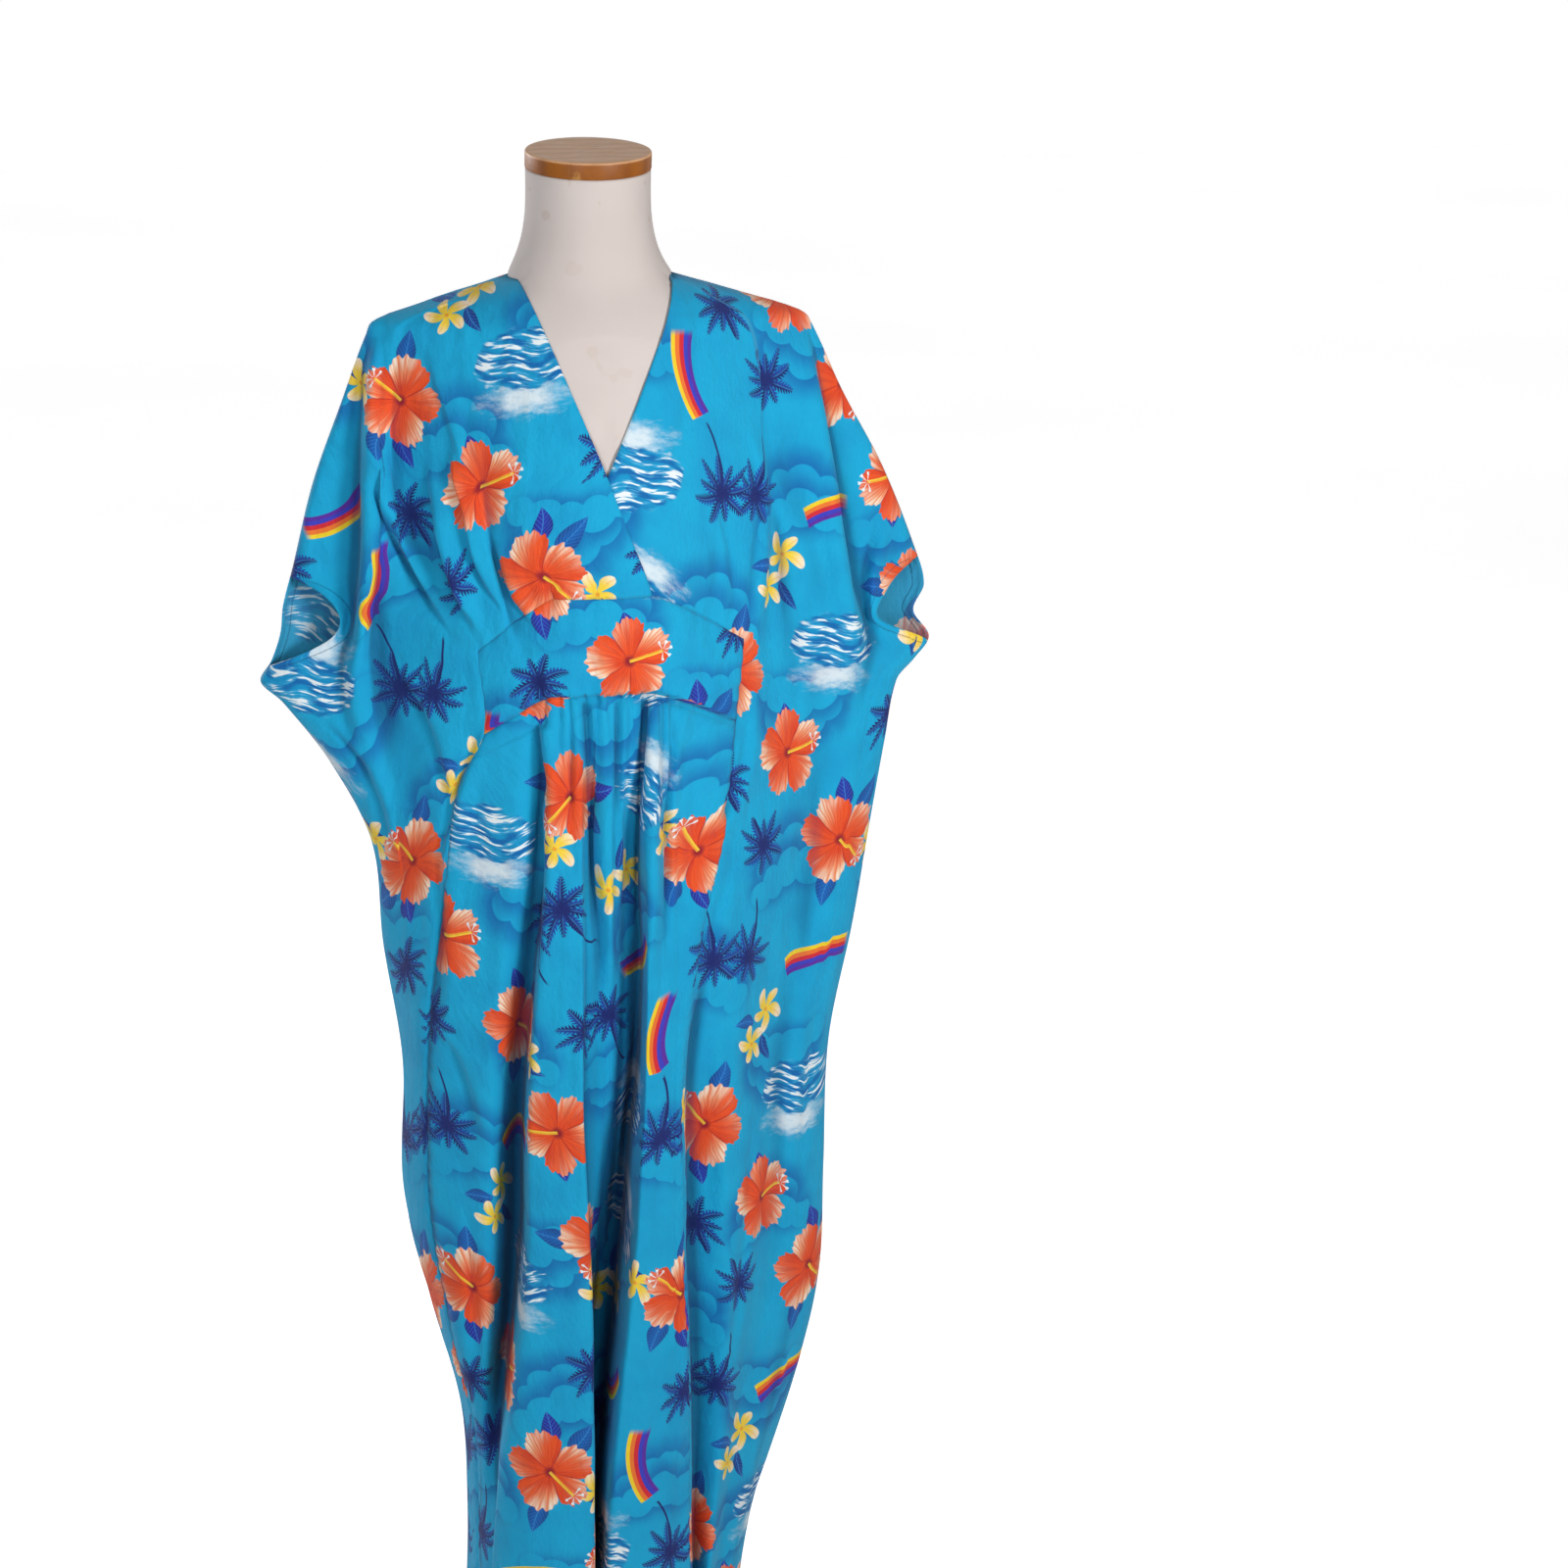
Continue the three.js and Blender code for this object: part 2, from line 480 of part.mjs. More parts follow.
const middlePanel = (rows) =>
  wall(lappedPoint, FRONT_END, cellsIn([LEFT_SEAM.column, RIGHT_SEAM.column], rows));

const backPanel = () => wall(backPoint, BACK_END, cellsIn([0, BACK_END], [0, HEM]), { turned: true });

// --------- the dress form
// Sections of the form by height. Within the dress it is also kept inside the cloth.
const FORM_SECTIONS = [
  { z: NECK_TOP, half: 58, front: 58, back: 58 },
  { z: 1500, half: 58, front: 58, back: 58 },
  { z: 1474, half: 60, front: 58, back: 59 },
  { z: 1452, half: 66, front: 59, back: 60 },
  { z: 1440, half: 72, front: 61, back: 61 },
  { z: 1429.1, half: 90, front: 62, back: 60 },
  { z: 1422.1, half: 120, front: 67, back: 65 },
  { z: 1410.1, half: 158, front: 76, back: 72 },
  { z: 1392.1, half: 184, front: 84, back: 78 },
  { z: 1378.1, half: 182, front: 88, back: 81 },
  { z: 1346, half: 156, front: 96, back: 86 },
  { z: 1300, half: 143, front: 106, back: 89 },
  { z: 1235, half: 142, front: 113, back: 86 },
  { z: 1150, half: 134, front: 98, back: 76 },
  { z: 1060, half: 122, front: 84, back: 72 },
  { z: 960, half: 142, front: 90, back: 92 },
  { z: 870, half: 160, front: 92, back: 106 },
  { z: 785, half: 148, front: 84, back: 96 },
];
const formRows = (key) => FORM_SECTIONS.map((section) => [section.z, section[key]]);
const FORM_ROWS = { half: formRows("half"), front: formRows("front"), back: formRows("back") };

function formRing(z) {
  const inDress = z < ROWS[0].side;
  const under = z + FORM_LIFT;
  const points = [];
  for (let k = 0; k < FORM_RING; k++) {
    const turn = (2 * Math.PI * k) / FORM_RING;
    const key = Math.sin(turn) < 0 ? "front" : "back";
    const half = alongHeight(FORM_ROWS.half, z);
    const x = Math.cos(turn) * Math.min(half, inDress ? reachAt(Math.cos(turn), under) - FORM_SIDE : half);
    let y = Math.sin(turn) * alongHeight(FORM_ROWS[key], z);
    if (inDress) {
      const room = surfacePoint(key, x, under, -FORM_CLEAR * Math.sqrt(Math.abs(Math.sin(turn)))).y;
      y = key === "front" ? Math.max(y, room) : Math.min(y, room);
    }
    const lean = Math.tan(NECK_TILT) * smooth((z - 1460) / (NECK_TOP - 1460));
    points.push(new THREE.Vector3(x, y, z + y * lean));
  }
  return points;
}

// A closed solid through rings of equal counts, ordered upward, each counter-clockwise from above.
function loft(rings) {
  const count = rings[0].length;
  const positions = rings.flat().flatMap((point) => [...point]);
  const faces = [];
  for (let level = 0; level < rings.length - 1; level++)
    for (let k = 0; k < count; k++) {
      const [a, b] = [level * count + k, level * count + ((k + 1) % count)];
      faces.push(a, b, b + count, a, b + count, a + count);
    }
  for (const [level, order] of [[0, [0, 2, 1]], [rings.length - 1, [0, 1, 2]]]) {
    const middle = rings[level].reduce((sum, point) => sum.add(point), new THREE.Vector3());
    positions.push(...middle.divideScalar(count));
    const hub = positions.length / 3 - 1;
    for (let k = 0; k < count; k++) {
      const fan = [hub, level * count + k, level * count + ((k + 1) % count)];
      faces.push(...order.map((corner) => fan[corner]));
    }
  }
  return solid(positions, faces);
}

const torso = () => loft(FORM_SECTIONS.map((section) => formRing(section.z)).reverse());

// A round disc with bevelled rims, its underside at z = 0.
function disc({ radius, thickness, bevel }, sides) {
  const profile = [
    [0, 0],
    [radius - bevel, 0],
    [radius, bevel],
    [radius, thickness - bevel],
    [radius - bevel, thickness],
    [0, thickness],
  ].map(([r, z]) => new THREE.Vector2(r, z));
  return new THREE.LatheGeometry(profile, sides).rotateX(Math.PI / 2);
}

function neckCap() {
  const cap = mesh("neck_cap", disc(CAP, 64), material(WOOD_COLOUR, 0.5));
  cap.position.set(0, 0, NECK_TOP + CAP.gap);
  cap.rotation.x = NECK_TILT;
  return cap;
}

function pole() {
  const height = FORM_SECTIONS[FORM_SECTIONS.length - 1].z - BASE.thickness - 2 * POLE.gap;
  const tube = new THREE.CylinderGeometry(POLE.radius, POLE.radius, height, 32).rotateX(Math.PI / 2);
  const made = mesh("stand_pole", tube, material(STEEL_COLOUR, 0.4, 0.8));
  made.position.z = BASE.thickness + POLE.gap + height / 2;
  return made;
}

const dress = new THREE.Group();
dress.add(
  mesh("front_lapped", lappedFront(), cloth),
  mesh("front_under", underFront(), cloth),
  mesh("midriff_band", middlePanel([BAND_TOP, BAND_BOTTOM]), cloth),
  mesh("skirt_front", middlePanel([BAND_BOTTOM, HEM]), cloth),
  mesh("back", backPanel(), cloth),
);

const stand = new THREE.Group();
stand.add(
  mesh("form_torso", torso(), material(FORM_COLOUR, 0.85)),
  neckCap(),
  pole(),
  mesh("stand_base", disc(BASE, 64), material(STEEL_COLOUR, 0.4, 0.8)),
);

const part = new THREE.Group();
part.add(dress, stand);
export default part;
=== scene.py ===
"""A loose printed dress on a dress form, shown over its CAD frame.

The cloth follows the sections, rows and lines of the part's source, read between its rows and columns for
soft folds, with gathers, creases and puckers added. Sizes are in millimetres until a mesh is made.
"""

import math
from dataclasses import dataclass

import bpy
import numpy as np
from mathutils import Euler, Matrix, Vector


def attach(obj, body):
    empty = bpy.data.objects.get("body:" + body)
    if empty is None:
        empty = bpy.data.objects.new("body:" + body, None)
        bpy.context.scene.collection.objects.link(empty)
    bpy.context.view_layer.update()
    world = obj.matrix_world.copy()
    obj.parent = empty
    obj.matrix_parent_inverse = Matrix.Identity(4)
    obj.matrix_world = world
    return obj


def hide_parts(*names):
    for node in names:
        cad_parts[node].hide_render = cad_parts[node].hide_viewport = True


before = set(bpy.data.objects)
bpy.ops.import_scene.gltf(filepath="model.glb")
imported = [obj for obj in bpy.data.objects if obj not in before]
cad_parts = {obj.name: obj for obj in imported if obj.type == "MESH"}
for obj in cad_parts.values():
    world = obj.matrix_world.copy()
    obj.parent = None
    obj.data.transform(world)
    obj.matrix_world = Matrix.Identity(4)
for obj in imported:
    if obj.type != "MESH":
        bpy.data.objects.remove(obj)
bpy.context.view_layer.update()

TAU = 2 * math.pi
MM = 0.001

# Cloth
THICKNESS = 0.9
FINE_COLUMNS = {"front": 6, "back": 3}  # columns of the mesh for each one of the part's source
ROW_STEP = 4.0  # about this far from one row of the mesh to the next
LAP_RISE = 1.9  # the lapped front stands out this far
LAP_FLAT = 92  # over this width from the lap's edge
LAP_RAMP = 26  # and comes back over this one
DEEPEST = -94  # no fold of the skirt goes deeper, or it would reach the pole
SEAM_DIP = 1.1  # a seam lies this deep in its groove
SEAM_WIDTH = 4.0
PINNED = 6  # the finer folds fade out over this many columns at the sides
HEM_STITCH, CUFF_STITCH = 24.0, 13.0  # from the edge to its stitching
CUFF_REACH = 40  # stitching this near to a sleeve's edge is the cuff's
STITCH, YARN = 3.1, 0.62  # length of a stitch and thickness of a yarn

# Dress form and stand
FORM_BOTTOM = 785
FORM_LIFT = 1.9  # the form takes its room from the dress this far above
FORM_CLEAR = 2.9  # it stays this far behind the cloth
FORM_SIDE = 1.6  # and this far from the dress's sides
FORM_SIDES = 160
FORM_EVENING = 24  # turns of averaging at the neck's foot and in the V
END_ROWS = 6  # rings of faces that close an end
COVER_RADIUS, COVER_YARN = 0.065, 0.00075  # in metres, the neck's radius and a yarn of the form's cover
NECK_TILT = math.radians(6)
NECK_TOP, NECK_FOOT = 1529, 1460  # the neck leans more and more between these heights
COLLAR, V_POINT = 1431, 1270  # heights of the dress's upper edge and of the V's point
CAP = {"radius": 58.5, "thickness": 16, "rim": 1.6, "sides": 128, "gap": 0.3}
POLE = {"radius": 14, "rings": 60, "sides": 48, "gap": 0.3}
BASE = {"radius": 150, "thickness": 9, "rim": 2.5, "sides": 128}
RIM_STEPS = 5

# Sections of the dress by height. left and right: reach of the sleeve or side from the middle.
# front and back: depth at the middle. edge: half thickness out near the sides.
# body: half width of the part that the torso fills out. lag: how far the sides lie behind the middle.
SECTION_KEYS = ("z", "left", "right", "front", "back", "edge", "body", "lag")
SECTIONS = (
    (1431, 76, 79, 62, 60, 50, 90, 0),
    (1424, 100, 103, 66, 64, 42, 118, 0),
    (1412, 142, 144, 73, 71, 34, 160, 0),
    (1394, 197, 200, 83, 79, 27, 204, 0),
    (1380, 207, 213, 90, 84, 27, 210, 2),
    (1315, 231, 245, 111, 95, 30, 216, 8),
    (1240, 258, 287, 124, 99, 34, 222, 14),
    (1160, 278, 321, 127, 97, 38, 224, 18),
    (1122, 288, 332, 125, 97, 40, 224, 19),
    (1096, 291, 322, 124, 98, 42, 224, 19),
    (1070, 300, 338, 124, 100, 42, 224, 18),
    (1050, 311, 324, 125, 102, 42, 224, 16),
    (1030, 291, 306, 127, 104, 44, 222, 14),
    (970, 247, 294, 131, 112, 50, 220, 10),
    (890, 209, 280, 135, 122, 60, 218, 6),
    (790, 200, 264, 138, 126, 68, 215, 3),
    (670, 183, 241, 140, 125, 74, 212, 0),
    (540, 184, 238, 140, 122, 76, 210, 0),
    (420, 159, 235, 138, 118, 76, 205, 0),
    (300, 129, 209, 134, 113, 74, 190, 0),
    (180, 123, 172, 130, 110, 74, 175, 0),
    (60, 126, 152, 128, 110, 76, 170, 0),
)

# Rows of the cloth from the neck to the hem, by their height at the middle of the front,
# at the corners of the midriff band, and at the sides and all round the back.
ROW_KEYS = ("centre", "corner", "side")
ROWS = (
    *((z, z, z) for z in (1431, 1424, 1412, 1394, 1380)),
    (1350, 1348, 1346),
    (1312, 1304, 1300),
    (1268, 1254, 1250),
    (1232, 1206, 1200),
    (1192, 1156, 1150),
    (1172, 1126, 1130),
    (1151, 1096, 1108),
    (1120, 1070, 1086),
    (1089, 1044, 1066),
    (1058, 1018, 1046),
    (1030, 990, 1022),
    (990, 956, 985),
    (940, 915, 935),
    (880, 865, 880),
    (815, 808, 815),
    (745, 742, 745),
    *((z, z, z) for z in (670, 595, 520, 445, 370, 295, 215, 135, 60)),
)
CUFF_TOP, BAND_TOP, CUFF_BOTTOM, BAND_BOTTOM, HEM = 9, 11, 13, 14, 29
BAND_FLAT = {"left": -52, "right": 42}  # the band's arch falls away beyond these
NECK_EDGES = {
    "lapped": ((1431, -70), (1268, -4)),
    "under": ((1431, 73), (1268, -4), (1210, -30), (1151, -46)),
}
CUFF_DRAW = {"left": 52, "right": 46}  # how far the front of a sleeve's mouth is drawn in


@dataclass
class Line:
    """A line down the cloth: a seam, or the crest or valley of a fold.

    path holds (height, x, depth). columns is how many of the source's cells lie between this line and
    the one before. Below the band, roll moves the line to the right, for an edge that leans over the
    valley beside it, and deeper is the share by which a fold goes deeper than the source's, whose wall
    is thicker.
    """

    name: str
    columns: int = 0
    path: tuple = ()
    seam: bool = False
    side: str = ""
    roll: float = 0
    deeper: float = 0
    column: int = 0


def numbered(lines):
    """The lines, each with the number of its column."""
    column = 0
    for line in lines:
        column += line.columns
        line.column = column
    return lines


# Lines of the front and of the back, from left to right as seen from the front.
FRONT = numbered([
    Line("left side", side="left", seam=True),
    Line("left sleeve valley", 5,
         ((1380, -203, 0), (1350, -211, -1), (1300, -213, -3), (1240, -216, -5), (1187, -218, -6),
          (1140, -224, -6), (1110, -226, -6), (1075, -236, -5), (1030, -236, -3), (980, -226, 0))),
    Line("left body edge", 1,
         ((1380, -196, 0), (1350, -204, 9), (1300, -206, 14), (1240, -209, 17), (1187, -211, 19),
          (1140, -217, 19), (1110, -219, 18), (1075, -226, 16), (1030, -226, 10), (980, -214, 0))),
    Line("left drape", 1,
         ((1350, -194, 2), (1300, -198, 4), (1200, -199, 4), (1130, -205, 0), (1100, -205, -6),
          (1050, -197, -9), (1000, -192, -9), (937, -188, -6), (850, -182, 0))),
    Line("left diagonal", 3,
         ((1350, -182, 0), (1286, -186, -5), (1239, -184, -8), (1196, -176, -10), (1159, -160, -10),
          (1120, -143, -7), (1096, -135, -2), (1060, -130, 0))),
    Line("left seam", 3,
         ((1431, -73, 0), (1412, -106, 0), (1394, -134, 0), (1350, -142, 0), (1254, -132, 0),
          (1156, -122, 0), (1096, -118, 0), (1018, -113, 0), (970, -135, 0), (880, -146, 0),
          (801, -156, 0), (728, -163, 0), (600, -166, 0), (520, -163, 0), (440, -151, 0),
          (365, -137, 0), (300, -123, 0), (206, -118, 0), (60, -119, 0)), seam=True),
    Line("left drape end", 3,
         ((1260, -124, 0), (1151, -100, 0), (1056, -84, 0), (979, -84, -2), (897, -86, -3),
          (746, -106, -5), (598, -113, -8), (443, -116, -9), (365, -117, -7), (300, -117, -3),
          (206, -116, -2), (60, -117, -2))),
    Line("left valley", 2,
         ((1290, -112, 0), (1200, -104, -5), (1130, -88, -6), (1110, -80, -2), (1056, -64, -3),
          (979, -63, -9), (897, -62, -13), (800, -73, -18), (746, -77, -21), (673, -82, -25),
          (598, -85, -30), (520, -85, -33), (443, -90, -33), (365, -99, -26), (287, -109, -10),
          (206, -113.5, 0), (60, -114.5, 0)), roll=11, deeper=1.3),
    Line("left fold, outer edge", 1,
         ((1290, -96, 0), (1200, -84, 0), (1130, -70, 0), (1056, -56, 0), (979, -56, 2),
          (897, -55, 3), (800, -66, 3), (746, -70, 3), (673, -75, 3), (598, -78, 3), (520, -78, 4),
          (443, -83, 8), (365, -92, 15), (287, -104, 28), (206, -110, 36), (60, -111, 38)), roll=-1),
    Line("left fold, inner edge", 3,
         ((1200, -52, 0), (1130, -44, 0), (1056, -34, 0), (979, -28, 2), (897, -27, 3),
          (746, -27, 4), (594, -24, 4), (516, -20, 4), (439, -17, 4), (359, -15, 6), (280, -14, 8),
          (198, -14, 10), (60, -14, 10))),
    Line("recess", 1,
         ((1200, -44, 0), (1130, -36, 0), (1056, -27, -2), (979, -22, -5), (897, -21, -7),
          (746, -22, -9), (670, -22, -12), (594, -20, -18), (516, -16, -24), (439, -14, -32),
          (359, -12, -40), (280, -11.5, -46), (60, -11.5, -52)), deeper=0.8),
    Line("gather 1", 1,
         ((1200, -22, 0), (1130, -18, 0), (1056, -14, -5), (979, -11, -10), (897, -10, -12),
          (820, -9, -12), (746, -8, -14), (670, -7, -18), (594, -6, -24), (516, -4, -32),
          (439, -5, -42), (359, -7, -50), (280, -9, -56), (60, -9.5, -64)), deeper=0.9),
    Line("between the gathers", 1,
         ((1200, -8, 0), (1130, -5, 0), (1056, -4, 0), (979, 0, -1), (897, 0, -2), (820, 2, -5),
          (746, 4, -14), (670, 5, -20), (594, 5, -28), (516, 4, -38), (439, 1, -48), (359, -4, -57),
          (280, -7.5, -64), (60, -8.3, -74)), deeper=1),
    Line("gather 2", 1,
         ((1200, 5, 0), (1130, 10, 0), (1056, 6, -5), (979, 9, -9), (897, 11, -12), (820, 14, -14),
          (746, 16, -20), (670, 18, -26), (594, 16, -36), (516, 13, -46), (439, 6, -56),
          (359, -1, -64), (280, -6, -70), (60, -7, -80)), roll=3, deeper=1.2),
    Line("lap", 2,
         ((1268, -4, 0), (1214, 16, 0), (1151, 40, 0), (1110, 38, 0), (1056, 35, -4),
          (979, 34, -10), (897, 33, -14), (820, 32, -19), (746, 31, -26), (670, 30, -34),
          (594, 26, -44), (516, 21, -54), (439, 13, -62), (359, 5, -69), (280, -1, -75),
          (198, -4, -80), (60, -5, -84)), seam=True, roll=6, deeper=1.2),
    Line("right fold, inner edge", 1,
         ((1200, 34, 0), (1151, 52, 0), (1110, 46, 0), (1056, 42, 0), (979, 40, 2), (897, 38, 3),
          (746, 36, 4), (670, 34, 4), (594, 30, 4), (516, 26, 4), (439, 19, 4), (359, 11, 4),
          (280, 4, 5), (198, 1, 6), (60, 0, 6)), roll=-3),
    Line("right fold, outer edge", 3,
         ((1290, 112, 0), (1200, 106, -4), (1125, 94, -5), (1100, 82, 0), (1056, 61, -3),
          (979, 60, -7), (897, 60, -8), (820, 60, -4), (746, 62, 0), (594, 60, 3),
          (60, 66, 5)), deeper=0.8),
    Line("right seam", 3,
         ((1431, 76, 0), (1412, 110, 0), (1394, 138, 0), (1350, 150, 0), (1254, 146, 0),
          (1156, 140, 0), (1096, 137, 0), (1018, 130, 0), (940, 119, 0), (886, 108, 0), (831, 96, 0),
          (780, 88, 0), (750, 83, 0), (710, 75, 2), (640, 71, 3), (590, 72, 3), (510, 74, 3),
          (432, 78, 4), (352, 84, 5), (272, 86, 5), (60, 89, 5)), seam=True),
    Line("right valley", 1,
         ((860, 112, 0), (780, 98, -5), (710, 84, -11), (590, 81, -15), (450, 86, -16),
          (300, 94, -18), (60, 97, -20)), deeper=0.8),
    Line("right gather", 3,
         ((1370, 148, 0), (1300, 158, -5), (1200, 162, -8), (1130, 162, -8), (1096, 163, -6),
          (1000, 166, -2), (900, 165, 0))),
    Line("right body edge", 3,
         ((1380, 202, 0), (1350, 209, 10), (1308, 216, 16), (1244, 226, 19), (1174, 236, 21),
          (1116, 250, 21), (1079, 256, 16), (1030, 250, 7), (970, 232, -4), (900, 215, -8),
          (700, 186, -12), (450, 172, -12), (250, 140, -10), (60, 118, -10))),
    Line("right sleeve valley", 1,
         ((1380, 208, 0), (1350, 216, -1), (1308, 224, -3), (1244, 236, -5), (1174, 246, -6),
          (1116, 262, -6), (1079, 274, -5), (1040, 272, -2), (1000, 262, 0))),
    Line("right side", 5, side="right", seam=True),
])
BACK = numbered([
    Line("left side", side="left", seam=True),
    Line("left sleeve valley", 5,
         ((1380, -203, 0), (1300, -214, -3), (1150, -226, -5), (1040, -232, -2), (980, -222, 0))),
    Line("left body edge", 2,
         ((1380, -190, 0), (1300, -202, 12), (1150, -212, 17), (1040, -214, 10), (960, -200, 0))),
    Line("left blade", 4,
         ((1240, -124, 0), (1000, -128, -10), (700, -128, -24), (400, -100, -30), (60, -84, -34))),
    Line("left crest", 3,
         ((1240, -86, 0), (1000, -88, 3), (700, -86, 4), (400, -70, 2), (60, -58, 2))),
    Line("left middle", 2,
         ((1200, -50, 0), (1000, -50, -6), (700, -46, -22), (400, -38, -32), (60, -32, -38))),
    Line("middle crest", 2,
         ((1240, -6, 0), (1000, -4, 3), (700, -2, 4), (400, 0, 4), (60, 0, 4))),
    Line("right middle", 2,
         ((1220, 40, 0), (1000, 44, -8), (700, 46, -24), (400, 42, -34), (60, 36, -38))),
    Line("right crest", 2,
         ((1240, 82, 0), (1000, 88, 3), (700, 90, 4), (400, 84, 2), (60, 64, 2))),
    Line("right blade", 3,
         ((1240, 120, 0), (1000, 134, -10), (700, 138, -22), (400, 130, -28), (60, 96, -32))),
    Line("right body edge", 4,
         ((1380, 196, 0), (1300, 212, 12), (1150, 236, 17), (1040, 240, 10), (960, 226, 0))),
    Line("right sleeve valley", 2,
         ((1380, 208, 0), (1300, 226, -3), (1150, 252, -5), (1040, 262, -2), (980, 256, 0))),
    Line("right side", 5, side="right", seam=True),
])
LEFT_SEAM, LAP, RIGHT_SEAM = (
    next(line for line in FRONT if line.name == name) for name in ("left seam", "lap", "right seam")
)
LAST_COLUMN = {"front": FRONT[-1].column, "back": BACK[-1].column}


def smooth(t):
    """0 below 0, 1 above 1, and a soft step between."""
    t = np.clip(t, 0, 1)
    return t * t * (3 - 2 * t)


def smooth_curve(places, values, at):
    """A smooth curve through values at rising places, read at each of at."""
    places, values = np.asarray(places, float), np.asarray(values, float)
    last = len(places) - 1
    lower = np.maximum(np.arange(last + 1) - 1, 0)
    upper = np.minimum(np.arange(last + 1) + 1, last)
    slopes = (values[upper] - values[lower]) / (places[upper] - places[lower])
    at = np.clip(at, places[0], places[-1])
    k = np.clip(np.searchsorted(places, at) - 1, 0, last - 1)
    span = places[k + 1] - places[k]
    t = (at - places[k]) / span
    return (
        (1 + 2 * t) * (1 - t) ** 2 * values[k]
        + t * (1 - t) ** 2 * span * slopes[k]
        + t * t * (3 - 2 * t) * values[k + 1]
        + t * t * (t - 1) * span * slopes[k + 1]
    )


def by_height(rows, z, value=1):
    """A value of rows ordered from high to low, each a height with its values, at the heights z."""
    rows = np.asarray(rows, float)[::-1]
    return smooth_curve(rows[:, 0], rows[:, value], z)


def size(key, z):
    """One of the section's sizes at the heights z."""
    return by_height(SECTIONS, z, SECTION_KEYS.index(key))


def reach_at(x, z):
    """How far the dress reaches on the side where x lies."""
    return np.where(x < 0, size("left", z), size("right", z))


def row_height(row, key):
    """Height of a row, or of a place between two rows."""
    heights = [values[ROW_KEYS.index(key)] for values in ROWS]
    return smooth_curve(np.arange(len(ROWS)), heights, row)


def surface_point(side, x, z, extra=0.0):
    """The y of the front or back, with no folds but for extra, how far it stands out."""
    out = np.minimum(1, np.abs(x) / reach_at(x, z))
    edge = size("edge", z)
    torso = np.maximum(0, 1 - (x / size("body", z)) ** 2) ** 1.5
    round_ = np.sqrt(1 - out**2)
    depth = edge * round_ + (size(side, z) - edge) * torso * smooth(round_ * 2.2) + extra
    return (-depth if side == "front" else depth) + size("lag", z) * out**2


def front_height(row, x):
    """Height of the front's rows at x, arched over the band and level in the sleeves."""
    centre, corner, side = (row_height(row, key) for key in ROW_KEYS)
    left = x < 0
    edge = np.where(left, by_height(LEFT_SEAM.path, corner), by_height(RIGHT_SEAM.path, corner))
    flat = np.where(left, BAND_FLAT["left"], BAND_FLAT["right"])
    inward = (x - flat) / (edge - flat)
    reach = np.where(left, -size("left", side), size("right", side))
    arched = centre + (corner - centre) * np.clip(inward, 0, 1) ** 1.15
    beyond = corner + (side - corner) * smooth((x - edge) / (reach - edge))
    return np.where(inward <= 1, arched, beyond)


def cuff_draw(row, side):
    """How far the front's edge is drawn in along a sleeve's mouth."""
    top, bottom = ROWS[CUFF_TOP][2], ROWS[CUFF_BOTTOM][2]
    through = np.clip((top - row_height(row, "side")) / (top - bottom), 0, 1)
    return CUFF_DRAW[side] * np.sin(math.pi * through**0.85)


def line_at(lines, index, z, neck):
    """A line's x and depth at the heights z. Beyond its path it keeps its share between the seams."""
    line = lines[index]
    if line.side:
        return (-1 if line.side == "left" else 1) * size(line.side, z), np.zeros_like(z)
    end = np.clip(z, line.path[-1][0], line.path[0][0])
    x, depth = by_height(line.path, end, 1), by_height(line.path, end, 2)
    if line is LAP:
        edge = NECK_EDGES[neck]
        on_neck = z > edge[-1][0] - 1
        return np.where(on_neck, by_height(edge, z), x), np.where(on_neck, 0, depth)
    if line.seam:
        return x, depth
    before = max(k for k in range(index) if lines[k].seam)
    after = min(k for k in range(index + 1, len(lines)) if lines[k].seam)
    a, b = (line_at(lines, seam, end, neck)[0] for seam in (before, after))
    c, d = (line_at(lines, seam, z, neck)[0] for seam in (before, after))
    return np.where(end == z, x, c + (d - c) * (x - a) / (b - a)), depth


def front_line(index, rows, neck):
    """Where a line crosses the front's rows. A row's height depends on x, so it takes a few turns."""
    line = FRONT[index]
    if line.side:
        reach = size(line.side, row_height(rows, "side")) - cuff_draw(rows, line.side)
        return (-reach if line.side == "left" else reach), np.zeros_like(rows)
    x, depth = line_at(FRONT, index, row_height(rows, "corner"), neck)
    for _ in range(3):
        x, depth = line_at(FRONT, index, front_height(rows, x), neck)
    low = smooth((1050 - row_height(rows, "centre")) / 160)
    deep = np.maximum(depth * (1 + line.deeper * low), np.minimum(depth, DEEPEST))
    depth = np.where(depth < 0, deep, depth)
    return x + line.roll * low, depth


def back_line(index, rows, neck):
    """Where a line crosses the back's rows."""
    return line_at(BACK, index, row_height(rows, "side"), neck)


def softened(values, turns=2):
    """Values averaged a little with their neighbours across the cloth, so that folds are round."""
    for _ in range(turns):
        padded = np.concatenate([2 * values[:1] - values[1:2], values, 2 * values[-1:] - values[-2:-1]])
        values = (padded[:-2] + 2 * padded[1:-1] + padded[2:]) / 4
    return values


